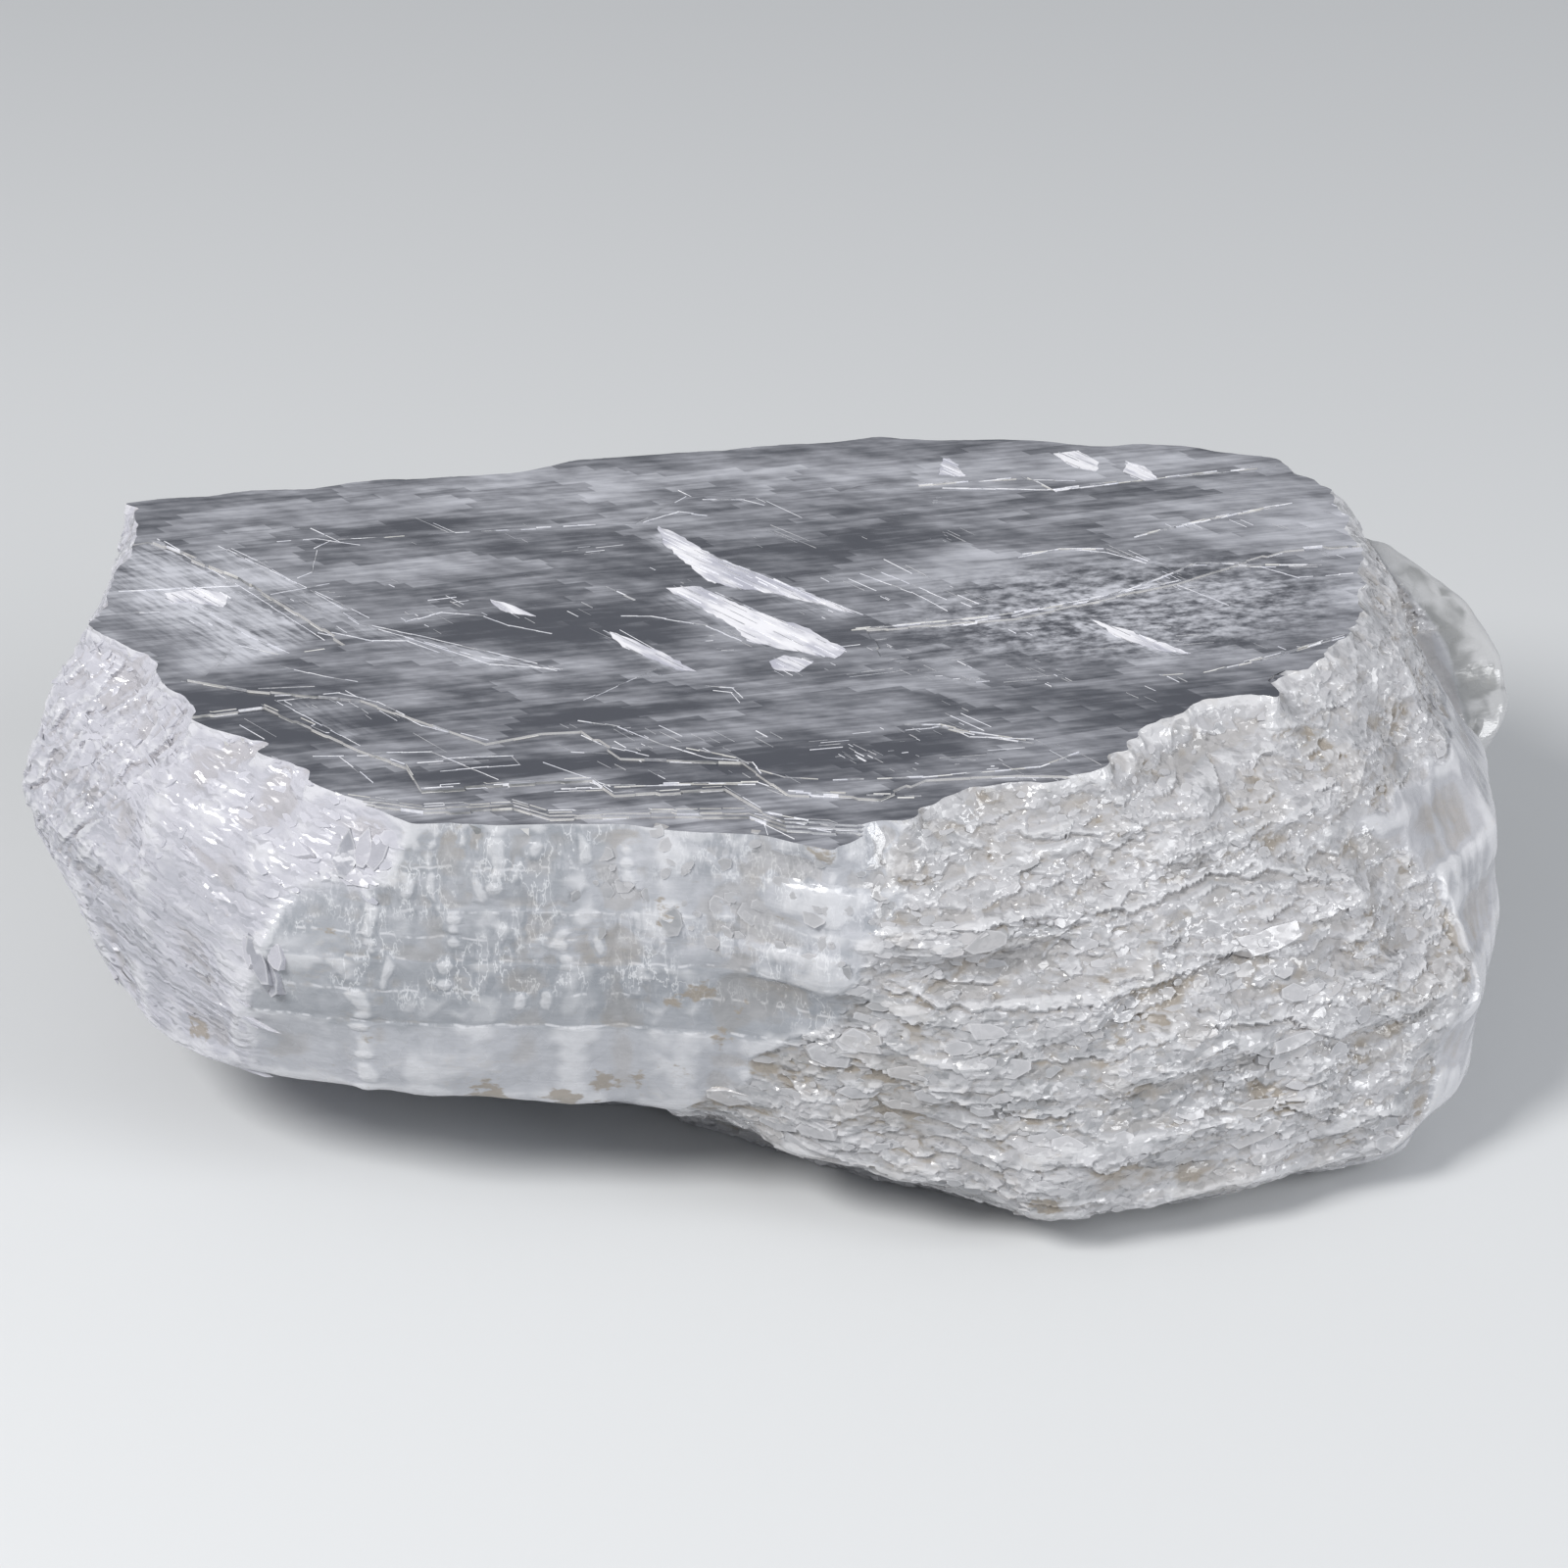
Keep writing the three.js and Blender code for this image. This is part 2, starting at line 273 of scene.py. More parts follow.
def shingles(p, width, height, hang=0.9):
    """Broken scales, each tilted its own way and standing out most at its lower lip."""
    here, centres = bent_cells(p, width, height, 0.35, 0.8)
    return cell_height(here, centres[0], 1.3, hang) - 0.25


def laminae(p, thick, reach, wander, hang, seed):
    """Thin layers parallel to the top: wavy in height, each with its own scalloped edge and a lower lip."""
    level = p.z / thick + wander * noise_at(p.x / 17, p.y / 17, seed)
    level += 0.35 * wander * noise_at(p.x / 5, p.y / 5, seed + 9)
    layer = math.floor(level)
    edge = noise_at(p.x / reach, p.y / reach, layer * 3.7 + seed)
    return edge + hang * (0.5 - (level - layer))


def ledges(p):
    total = 0
    for i, line in enumerate(LEDGES):
        start, end = line[0][0], line[-1][0]
        if start - 3 < p.x < end + 3:
            wave = 0.5 * noise_at(p.x / 2.2, i * 7.1, 0)
            above = p.z - along_line(line, p.x) - wave
            reach = ease(p.x, start - 3, start + 4) * (1 - ease(p.x, end - 4, end + 3))
            total += reach * (0.3 * math.exp(-above / 1.8) if above > 0 else -0.3 * math.exp(above / 1.2))
    return total


def calm(p):
    """Where the broken selenite is nearly smooth and glassy."""
    return ease(lumpy(p, 7, 4, 50) + 0.1 * noise.noise(p / 1.5), 0.05, 0.3)


def scaly_relief(p):
    coarse = 0.5 + 0.5 * lumpy(p, 14, 10)
    rough = 1 - 0.8 * calm(p)
    total = 0.7 * lumpy(p, 9, 5) + 0.24 * laminae(p, 4.2, 7, 1.6, 0.9, 3)
    total += 0.05 * laminae(p, 1.8, 3, 1.2, 0.9, 13) + (0.12 + 0.3 * coarse) * scoops(p, 6.5, 3.4, 1.0, 0.2)
    return total + rough * (0.22 * shingles(p, 3.4, 1.7) + 0.12 * shingles(p, 1.6, 1.0)) - 0.25


# how far the fibres of the left face fall for each millimetre towards the front
FIBRE_FALL = 0.15


def fibrous_relief(p):
    """Fine fibres that fall gently towards the front, crumbling into blocky chips at the upper left."""
    run = (p.x - p.y) * 0.71
    across = p.z + FIBRE_FALL * run
    fibre = 0.1 * abs(noise_at(run / 14, across / 0.9, 3)) + 0.07 * noise_at(run / 8, across / 0.5, 8)
    fibre += 0.45 * noise_at(run / 12, across / 5, 21)
    chips = 0.3 * shingles(Vector((p.x, p.y, across)), 4.5, 1.5, 0.4)
    chipped = ease(noise_at(run / 6, across / 3, 91), 0.15, 0.4)
    crumbs = 0.4 * shingles(Vector((p.x, p.y, p.z - 0.9 * run)), 3.5, 2.0, 0.3) + 0.15 * scoops(p, 1.8, 1.6)
    crumbling = ease(noise_at(run / 9, p.z / 7, 77) + (p.z - 43) / 18 - (p.x + 70) / 12, 0, 0.5)
    return fibre + 0.6 * chipped * chips + crumbling * crumbs - 0.2


# ribs that stand up the glassy front: x, top, bottom, width and height
RIBS = [
    (-38.1, 51, 40.2, 0.6, 0.4), (-31, 50.4, 42.8, 1.1, 0.7), (-26.8, 50.4, 47, 0.9, 0.6),
    (-21.6, 50, 46, 0.7, 0.5), (-32.8, 44.4, 41.8, 0.8, 0.5), (-36, 40.2, 36, 0.9, 0.5),
    (-24.1, 38.5, 34, 1.0, 0.6), (-20, 38, 35, 0.7, 0.5), (-37.4, 34.5, 30.7, 0.8, 0.6),
    (-43.6, 35, 30.7, 0.6, 0.5), (-28.7, 30.2, 28.1, 0.7, 0.5), (-26, 30.7, 28.6, 0.7, 0.5),
    (-45.2, 46.5, 35, 0.8, 0.5), (-34.5, 51, 48.5, 0.6, 0.5), (-46.5, 30, 15, 1.3, 0.6),
    (-17, 49, 44, 1.0, 0.6), (-29, 47, 44, 0.6, 0.4), (-41, 45, 41, 0.6, 0.4),
]


def ribs(p):
    """How far the ribs stand out at a place of the front, in millimetres."""
    most = 0.0
    for x, top, bottom, width, height in RIBS:
        apart = (p.x - x - 0.9 * noise_at(p.z / 3, x, 0)) / width
        if abs(apart) < 2:
            along = ease(p.z, bottom - 1, bottom + 1) * (1 - ease(p.z, top - 0.7, top + 0.7))
            uneven = 0.7 + 0.6 * noise_at(p.z, x, 4)
            most = max(most, height * along * math.exp(-apart * apart) * uneven)
    return most


def glassy_relief(p):
    """Nearly smooth, with a few steps between its bands, and dents and ribs in the upper ones."""
    bands = 0.22 * ease(p.z, 33.6, 34.4) + 0.16 * ease(p.z, 25.6, 26.2) + 0.15 * ease(p.z, 40.5, 41.2)
    dented = ease(p.z + 3 * noise_at(p.x / 6, 0, 5), 24, 31)
    dented *= ease(noise_at(p.x / 8, p.z / 9, 31), -0.1, 0.3)
    dents = 0.32 * noise_at(p.x / 3.2, p.z / 3.8, 15) + 0.12 * noise_at(p.x, p.z, 9)
    shattered = ease(p.x, -24, -19) * (1 - ease(p.x, -9, -5)) * ease(p.z, 34, 38)
    dents += 0.5 * shattered * scoops(p, 4, 4, 1.2, 0)
    return -bands + (0.07 + 0.93 * dented) * dents + ribs(p) + 0.05 * noise.noise(p / 1.4) - 0.1


def satin_relief(p):
    run = p.y * 0.8 + p.x * 0.3
    groove = noise_at((run - 0.75 * p.z) / 1.1, (run + p.z) / 16, 4)
    return 0.12 * groove + 0.25 * noise.noise(p / 7)


def lobe_relief(p):
    scallop = max(0.0, lumpy(p, 3.5, 2.6))
    return 0.3 * noise.noise(p / 5) - 0.7 * scallop * ease(p.x, 84, 88) + 0.08 * noise.noise(p / 1.5)


RELIEFS = (fibrous_relief, glassy_relief, satin_relief, lobe_relief, scaly_relief)
# how wide the rim of the top is broken away, by the bearing of the wall under it, and how far down
RIM_WIDTH = [(-180, 2.4), (-158, 2.0), (-145, 0.5), (-75, 0.5), (-60, 1.4), (-35, 2.8), (25, 2.6), (60, 1.6),
             (85, 0.5), (150, 0.5), (165, 1.6), (180, 2.4)]
RIM_DROP = 4.5
# the share of the relief that is lost at the rim, and how far down that reaches
RIM_CALM, RIM_CALM_REACH = 0.6, 5


def rim_cut(p, bearing):
    over = (p.z - FACE / MM + RIM_DROP) / RIM_DROP
    if over <= 0:
        return 0.0
    broken = 1 + 0.4 * noise.noise(p / 4) + 0.12 * noise.noise(p / 1.3)
    return -along_line(RIM_WIDTH, bearing) * broken * over ** 1.6


def relief(point, normal):
    """How far the surface stands out at a point of the walls, in metres."""
    p = (point - ORIGIN) / MM
    bearing = math.degrees(math.atan2(normal.y, normal.x))
    shares = zones(p, bearing)
    total = sum(share * shape(p) for share, shape in zip(shares, RELIEFS) if share > 0)
    if p.y < 0:
        total += shares[-1] * ledges(p)
    total *= 1 - RIM_CALM * ease(p.z, FACE / MM - RIM_CALM_REACH, FACE / MM)
    return (total + rim_cut(p, bearing)) * MM


def kept_inside(places):
    """Places drawn back to the CAD solid's box, where they stand out of it."""
    places[:, 0] = np.clip(places[:, 0], low[0], high[0])
    places[:, 1] = np.clip(places[:, 1], low[1], high[1])
    return places


def shape_walls(mesh):
    """Moves the vertices of the walls out and in by the relief of their kind of surface."""
    normals = broad_normals(mesh, 30)
    places = vertex_array(mesh, "co")
    for i, (place, normal) in enumerate(zip(places.tolist(), normals.tolist())):
        if FOOT - 1 * MM < place[2] < TOP + 2 * MM and abs(normal[2]) < 0.97:
            places[i] += normals[i] * relief(Vector(place), Vector(normal))
    mesh.vertices.foreach_set("co", kept_inside(places).ravel())
    mesh.update()


def cleave_flat(mesh):
    """Cuts the blank to the flat cleavage face and the flat foot."""
    work = bmesh.new()
    work.from_mesh(mesh)
    for z, up in ((FACE, 1), (FOOT, -1)):
        cut = bmesh.ops.bisect_plane(
            work, geom=work.verts[:] + work.edges[:] + work.faces[:], plane_co=(0, 0, z), plane_no=(0, 0, up),
            clear_outer=True, dist=1e-7)
        edges = [g for g in cut["geom_cut"] if isinstance(g, bmesh.types.BMEdge)]
        bmesh.ops.contextual_create(work, geom=edges)
    bmesh.ops.triangulate(work, faces=[f for f in work.faces if len(f.verts) > 4])
    work.to_mesh(mesh)
    work.free()


# ---- cleavage steps of the top ----
# how far the teeth of the steps' edges reach, and how far apart they are, in millimetres
TOOTH = 0.9
TOOTH_PITCH = 2.6


def toothed(edge, seed):
    """A line across the top with teeth along the other cleavage trace, in millimetres."""
    line = []
    for i in range(len(edge) - 1):
        start, end = Vector(edge[i]), Vector(edge[i + 1])
        along = end - start
        slope = math.atan(along.y / along.x) if abs(along.x) > 0.01 else TRACE_B
        other = TRACE_B if abs(slope - TRACE_A) < abs(slope - TRACE_B) else TRACE_A
        tooth = heading(other)
        steps = max(1, round(along.length / TOOTH_PITCH))
        for s in range(steps):
            clear_of_corners = 0 < s < steps - 1
            reach = TOOTH * noise_at(start.x + s * 5.3, start.y, seed) if clear_of_corners else 0
            line.append(start + along * (s / steps) + tooth * reach)
            line.append(start + along * ((s + 0.9) / steps) + tooth * reach)
    return line


# the cutter of a step reaches this far above the step's floor
CUTTER_HEIGHT = 8 * MM
# depth, how many steps it takes, the jagged edge, and the corners beyond it
TERRACES = [
    (0.3, 1, [(-68.5, -26.5), (-60.5, -29.5), (-52.5, -31), (-47.5, -32), (-33, -42.5), (-27, -40),
    (-22.5, -39.5), (-18, -46), (-4.5, -47), (0.5, -54.5), (10.5, -55.5), (15.5, -51), (25.5, -50),
    (36, -50.5)], [(60, -90), (-90, -90), (-90, -26.5)]), (0.65, 2, [(-67, -35), (-58.5, -32.5), (-47, -43),
    (-41.5, -47), (-39.5, -52.5), (-30, -51), (-21, -50), (-18.5, -53.5), (-6.5, -52), (-2.5, -57),
    (-1, -67)], [(-1, -90), (-90, -90), (-90, -35)]), (1.1, 4, [(-50, -52.5), (-39, -55.5), (-29.5, -54.5),
    (-25.5, -57), (-17, -56.5), (-4, -56.5), (0, -59.5), (10.5, -60.5), (14, -63)], [(14, -90),
    (-60, -90)]), (0.28, 1, [(66, 33.5), (44, 27.5), (30.5, 28), (9.5, 26.5), (7, 24.5), (-12, 23),
    (-18, 15), (-30, 14.5), (-53.5, 10), (-57.5, 14), (-72, 11.5), (-83, 7.5)], [(-95, 60), (80, 60)]),
    (0.4, 1, [(-83, 8), (-76.5, 10.5), (-64.5, 0), (-58.5, -7.5), (-50.5, -18), (-58, -20.5), (-63, -18),
    (-66, -26.5), (-72, -27.5)], [(-95, -27.5), (-95, 8)]), (0.25, 1, [(75, -14), (68, -13.5), (48, -25),
    (22, -29), (11, -21), (9.5, -14), (27, -11), (46.5, -1.5), (60, 7.5), (76, 10.5)], [(90, 10.5),
    (90, -14)]),
]
# how far each step of a terrace lies from the one above it, in millimetres
STEP_SHIFT = Vector((0.1, -0.5))


def terrace_edges():
    """Every step of every terrace: its depth, its toothed edge, and the corners beyond it."""
    for i, (depth, steps, edge, beyond) in enumerate(TERRACES):
        for step in range(steps):
            shifted = [Vector(corner) + STEP_SHIFT * step for corner in edge]
            yield depth * (step + 1) / steps, toothed(shifted, i + 0.37 * step), [Vector(c) for c in beyond]


def cut_steps(block):
    for depth, edge, beyond in terrace_edges():
        work = bmesh.new()
        prism(work, edge + beyond, FACE - depth * MM, CUTTER_HEIGHT)
        bmesh.ops.recalc_face_normals(work, faces=work.faces)
        cutter = new_object("cutter", mesh_of("cutter", work))
        cut = block.modifiers.new("step", "BOOLEAN")
        cut.operation = "DIFFERENCE"
        cut.object = cutter
        cut.solver = "MANIFOLD"
        block.data = evaluated_mesh(block)
        block.modifiers.clear()
        bpy.data.objects.remove(cutter)


# ---- what is painted on the block for its finishes ----
def clouded(p, size, height, seed, octaves=3):
    """Cloudy noise with lumps of this size and height, in millimetres."""
    return noise.fractal(Vector((p.x / size, p.y / size, p.z / height + seed)), 0.7, 2.1, octaves)


# heights between the three bands of the glassy front
MILKY_BAND_TOP = 25.5
BLUE_BAND_TOP = 34
# spots of dirt on the front: place, size and darkness
DIRT = [
    (-20.1, -59, 17.8, 2.2, 0.9), (-16.3, -59.4, 18.7, 1.6, 0.6), (-12.3, -61.8, 30.4, 1.4, 0.9),
    (-9.5, -62, 31.2, 2.0, 0.7), (-4.3, -62.4, 29.3, 1.6, 0.5), (-7, -62, 25.4, 1.6, 0.5),
    (28.6, -68.9, 8.1, 2, 0.9), (-66.4, -47.9, 18.1, 2, 0.8), (-49.7, -59.1, 36.7, 1.2, 0.8),
    (4.2, -64.9, 50, 2.4, 0.6), (-1.1, -64, 42.5, 1.2, 0.8), (-4.5, -63, 44.5, 1.8, 0.5),
    (-12.7, -62.3, 40.3, 2.4, 0.5), (-32.7, -58.3, 15.4, 3, 0.9), (-24.5, -58.8, 15.4, 2, 0.9),
    (-45, -58, 15.5, 2, 0.6), (8.5, -64, 21, 2, 0.4), (-2, -62, 22, 2.5, 0.35), (-12, -60, 20, 3, 0.3),
    (-45.5, -59.5, 24, 1.2, 0.4),
]


def dirt(p):
    """How dirty a place of the walls is, which is in ragged spots."""
    worst = 0.0
    for x, y, z, size, darkness in DIRT:
        apart = (p - Vector((x, y, z))).length / size
        if apart < 1.6:
            ragged = apart + 0.9 * noise.noise(p / 0.9) + 0.5 * noise.noise(p / 2.5)
            worst = max(worst, darkness * (1 - ease(ragged, 0.4, 1.1)))
    return worst


def upper_right(p):
    return ease(p.z + 0.35 * p.x - 0.1 * p.y, 38, 62)


def tones(p, shares):
    """How light, stained, dull, dirty and marked with hollows the selenite is at a place of the walls."""
    left, glassy, satin, lobe, scaly = shares
    cloud, fleck, seam = clouded(p, 9, 5, 0), clouded(p, 2.4, 1.2, 40), clouded(p, 7, 0.8, 80, 2)
    wave = 0.6 * noise_at(p.x / 7, p.y / 7, 3)
    milky = 1 - ease(p.z + wave, MILKY_BAND_TOP - 0.3, MILKY_BAND_TOP + 0.5)
    blue = (1 - milky) * (1 - ease(p.z + wave, BLUE_BAND_TOP - 0.3, BLUE_BAND_TOP + 0.3))
    shattered = ease(p.x, -24, -16) * ease(p.z + 2 * fleck, 34, 38)
    light = scaly * (0.6 + 0.16 * cloud + 0.06 * fleck + 0.06 * seam - 0.1 * calm(p) + 0.22 * upper_right(p)
                     + 0.12 * (1 - ease(p.z, 12, 22)))
    # the left face's lower facet, below about 33 mm, which faces downwards, is painted darker as shade
    light += left * (0.68 + 0.08 * cloud + 0.03 * fleck + 0.08 * seam - 0.06 * (1 - ease(p.z, 31, 35))
                     + 0.24 * ease(p.z, 37, 45))
    light += glassy * (0.4 + 0.08 * cloud + (1 - milky) * 0.12 * (fleck + seam) + 0.16 * milky - 0.1 * blue
                       + 0.2 * shattered)
    light += satin * (0.5 + 0.12 * cloud + 0.05 * fleck) + lobe * (0.5 + 0.1 * cloud)
    stain = ease(clouded(p, 9, 5, 120), 0.12, 0.5) * (0.3 + 0.7 * scaly) * (1 - left)
    stain += 0.5 * ease(clouded(p, 3, 1.2, 160), 0.3, 0.6) * scaly
    stain += 0.1 * left * ease(clouded(p, 5, 2, 90), 0.1, 0.5)
    dull = 0.5 + 0.5 * clouded(p, 3, 1.8, 200, 2)
    marked = glassy * ease(p.z + 4 * noise_at(p.x / 5, 0, 60), 26, 31)
    marked *= ease(lumpy(p, 6, 5, 70), -0.25, 0.15)
    return light, min(stain, 1), dull, dirt(p), marked


TONES = ("light", "stain", "dull", "dirty", "marked")


def paint(mesh, name, values):
    mesh.attributes.new(name, "FLOAT", "POINT").data.foreach_set("value", values)


def surface_facts(mesh):
    """Paints how proud each place stands, what kind of surface it is, and its tones."""
    places = vertex_array(mesh, "co")
    normals = broad_normals(mesh, 12)
    for name, rounds in (("proud_fine", 5), ("proud_broad", 25)):
        paint(mesh, name, ((places - smoothed(mesh, places, rounds)) * normals).sum(axis=1) / MM)
    points = [(Vector(place) - ORIGIN) / MM for place in places.tolist()]
    kinds = [zones(p, math.degrees(math.atan2(n[1], n[0]))) for p, n in zip(points, normals.tolist())]
    looks = [tones(p, kind) for p, kind in zip(points, kinds)]
    for names, rows in ((KINDS, kinds), (TONES, looks)):
        for column, name in enumerate(names):
            paint(mesh, name, [row[column] for row in rows])


# slots of the block
TOP_FACE, WALLS, STEP_EDGE = range(3)
# faces less than this far down belong to the top
TOP_REACH = 2.4 * MM
# upright faces within these bounds are the edges of steps, and those outside them belong to the rim
STEPS_LEFT, STEPS_RIGHT, STEPS_FRONT, STEPS_BACK = -82, 76, -60, 36


def kind_of_face(face):
    if face.center.z > TOP - TOP_REACH:
        if face.normal.z > 0.98:
            return TOP_FACE
        if abs(face.normal.z) < 0.05:
            here = (face.center - ORIGIN) / MM
            if STEPS_LEFT < here.x < STEPS_RIGHT and STEPS_FRONT < here.y < STEPS_BACK:
                return STEP_EDGE
    return WALLS


def main_block():
    """The crystal block: grown, shaped, cleaved, stepped, thinned and painted."""
    mesh = grown_blank()
    shape_walls(mesh)
    cleave_flat(mesh)
    block = new_object("crystal_block", mesh)
    cut_steps(block)
    faces = sum(len(f.vertices) - 2 for f in block.data.polygons)
    thin = block.modifiers.new("thin", "DECIMATE")
    thin.ratio = MOST_FACES / faces
    block = new_object("crystal_block", finished_mesh(block))
    places = kept_inside(vertex_array(block.data, "co"))
    places[:, 2] = np.maximum(places[:, 2], FOOT)
    block.data.vertices.foreach_set("co", places.ravel())
    block.data.update()
    surface_facts(block.data)
    return block


block = main_block()


# ---- helpers for finishes ----
# the node tree of the finish that is being made
tree = None


class Value:
    """A number, place or colour that a finish works out; adding, subtracting and scaling it makes nodes."""

    def __init__(self, socket):
        self.socket = socket
        self.single = socket.type == "VALUE"

    def __add__(self, other):
        return maths("ADD", self, other)

    def __sub__(self, other):
        return maths("SUBTRACT", self, other)

    def __mul__(self, other):
        if self.single:
            return maths("MULTIPLY", self, other)
        return node("VectorMath", "Vector", {"operation": "SCALE"}, self, Scale=other)

    __radd__, __rmul__ = __add__, __mul__


def feed(socket, value):
    if isinstance(value, Value):
        tree.links.new(value.socket, socket)
    else:
        socket.default_value = (*value, 1) if socket.type == "RGBA" else value


def node(kind, output, settings=None, *inputs, **named):
    """Adds a node to the finish being made, feeds it, and hands back one of its outputs."""
    made = tree.nodes.new("ShaderNode" + kind)
    for name, value in (settings or {}).items():
        setattr(made, name, value)
    for name, value in [*enumerate(inputs), *named.items()]:
        feed(made.inputs[name if isinstance(name, int) else name.replace("_", " ")], value)
    return Value(made.outputs[output])


def maths(operation, first, *others):
    if first.single:
        return node("Math", "Value", {"operation": operation}, first, *others)
    return node("VectorMath", "Vector", {"operation": operation}, first, *others)


def measured(operation, *vectors):
    """A length or a dot product."""
    return node("VectorMath", "Value", {"operation": operation}, *vectors)


def between(value, start, end, low=0.0, high=1.0):
    """A smooth step from low to high as a value goes from start to end."""
    return node("MapRange", "Result", {"interpolation_type": "SMOOTHSTEP"}, value, start, end, low, high)


def blend(share, first, second, kind="MIX"):
    """The first colour where the share is nothing, and the second where it is one."""
    made = tree.nodes.new("ShaderNodeMix")
    made.data_type, made.blend_type = "RGBA", kind
    for place, value in ((0, share), (6, first), (7, second)):
        feed(made.inputs[place], value)
    return Value(made.outputs[2])


def turned(places, angle):
    return node("VectorRotate", "Vector", {"rotation_type": "Z_AXIS"}, Vector=places, Angle=-angle)


def object_places():
    return node("TexCoord", "Object")


def crystal_places():
    """Places on the crystal in millimetres."""
    return node("Mapping", "Vector", Vector=object_places(), Scale=(1 / MM,) * 3)


def grain(size, stretch=(1, 1, 1), turn=0, detail=3, roughness=0.55, shift=0):
    """A cloudy pattern whose lumps are size millimetres, stretched along the turned axes."""
    placed = node("Mapping", "Vector", Vector=turned(crystal_places(), turn),
                  Scale=tuple(1 / (size * s) for s in stretch), Location=(shift, shift * 1.7, shift * 0.6))
    return node("TexNoise", "Fac", Vector=placed, Scale=1.0, Detail=detail, Roughness=roughness)


def bent_places():
    """Places on the crystal in millimetres, bent a little so that cells on them aren't straight."""
    here = crystal_places()
    return here + node("TexNoise", "Color", Vector=here, Scale=0.7, Detail=0.0)


def shards(places, size, stretch=(1, 1, 1), turn=0):
    """Crisp, irregular cells, each with a random vector between minus a half and a half."""
    if turn:
        places = turned(places, turn)
    placed = maths("MULTIPLY", places, tuple(1 / (size * s) for s in stretch))
    return node("TexVoronoi", "Color", Vector=placed, Scale=1.0, Randomness=1.0) - (0.5, 0.5, 0.5)


def along_axis(vector, axis):
    return node("SeparateXYZ", axis, Vector=vector)


def painted(name):
    return node("Attribute", "Fac", {"attribute_name": name})


def raised(height, strength, distance):
    return node("Bump", "Normal", Height=height, Strength=strength, Distance=distance * MM)


# how selenite bends light, and how its clear body dims the light that goes through it
IOR = 1.52
BODY_TINT = (0.5, 0.54, 0.56)
BODY_DENSITY = 7.0


def new_finish(name, transmission, absorbs=True):
    """Starts a finish of selenite: the nodes that are made next belong to it."""
    global tree
    material = bpy.data.materials.new(name)
    material.use_nodes = True
    tree = material.node_tree
    shader = tree.nodes["Principled BSDF"]
    shader.inputs["Transmission Weight"].default_value = transmission
    shader.inputs["IOR"].default_value = IOR
    if absorbs:
        body = node("VolumeAbsorption", "Volume", Color=BODY_TINT, Density=BODY_DENSITY)
        feed(tree.nodes["Material Output"].inputs["Volume"], body)
    return material


def give(**looks):
    """Feeds the finish being made its colour, roughness and normal."""
    for name, value in looks.items():
        feed(tree.nodes["Principled BSDF"].inputs[name.replace("_", " ")], value)


# ---- finish of the top face ----
# soft patches seen in the top: place, length along trace A, width, and how much lighter (or darker) it is
PATCHES = [
    (-70, -4, 22, 12, 0.12), (-61, -31, 18, 6, -0.22), (-45, 1, 24, 7, 0.1), (-45, 15, 20, 3, -0.16),
    (-25, -14, 20, 9, -0.24), (-24, -47, 24, 3, -0.32), (-52, -38, 18, 5, -0.22), (-17, -35, 16, 2, -0.3),
    (-2, 30, 30, 7, 0.16), (1, 7, 26, 8, -0.16), (20, 3, 20, 8, 0.18), (2, -47, 30, 6, -0.24),
    (20, -24, 24, 8, 0.08), (43, 0, 14, 3, -0.2), (52, -31, 22, 6, -0.2), (36, 32, 34, 7, 0.22),
    (58, 18, 20, 10, 0.2), (70, 5, 12, 24, 0.2), (50, -8, 22, 9, 0.12), (-30, 26, 40, 8, 0.12),
]
PATCH_STRENGTH = 1.5
# the cloudy streaks of the top run a little off trace A
STREAK_TURN = TRACE_A * 0.6


def patches():
    along_streaks = turned(object_places(), STREAK_TURN)
    total = 0.0
    for x, y, length, width, lightness in PATCHES:
        centre = Matrix.Rotation(-STREAK_TURN, 3, "Z") @ (Vector((x, y, 0)) * MM + ORIGIN)
        scale = (1 / (length * MM), 1 / (width * MM), 0)
        away = maths("MULTIPLY_ADD", along_streaks, scale, [-c * k for c, k in zip(centre, scale)])
        total += between(measured("LENGTH", away), 0.0, 1.15, lightness * PATCH_STRENGTH, 0.0)
    return total


# sheets parted inside the crystal: ends of the crisp edge, how far it fades from there, and how bright it is
VEILS = [
    ((-76, 11.3), (-53, -16.5), 22, 0.34), ((-68, 9), (-48.4, -11), 7, 0.25), ((-74, -1), (-56, -20), 9,
    0.25), ((-76, -2.9), (-66, -7.4), 3, 0.35), ((-49.5, -12.3), (-25.4, -24.3), 5, 0.25), ((-15, 13),
    (-1, -1), 5, 0.6), ((-8, 6), (9.5, -10), 6, 0.4), ((-13, -2.4), (7.5, -20), 6.5, 0.4), ((-21, -14),
    (-10, -24.8), 3, 0.4), ((34, -10.4), (47, -20), 3.5, 0.5), ((-57.4, -31.4), (-47, -42.4), -6, 0.2),
    ((20, -13), (46, -1.5), -4, 0.3),
]


def veils():
    """How bright the parted sheets make each place: most along their crisp edges, fading away to one side."""
    here = crystal_places()
    wave = grain(1.6, detail=1, shift=31) * 1.4 - 0.7
    streaky = between(grain(0.8, (7, 1, 1), TRACE_B, detail=3, roughness=0.65, shift=23), 0.3, 0.65, 0.2, 1.3)
    total = 0.0
    for start, end, fading, bright in VEILS:
        start, end = Vector((*start, 0)), Vector((*end, 0))
        run = end - start
        along, across = run.normalized(), Vector((run.y, -run.x, 0)).normalized()
        if fading < 0:
            across, fading = -across, -fading
        from_start = here - tuple(start + ORIGIN / MM)
        side = measured("DOT_PRODUCT", from_start, across) + wave
        reach = measured("DOT_PRODUCT", from_start, along)
        share = between(side, 0.0, 0.25) * between(side, fading, 0.0)
        share *= between(reach, -0.5, 1.5) * between(reach, run.length, run.length - 3)
        total += share * bright
    return total * streaky


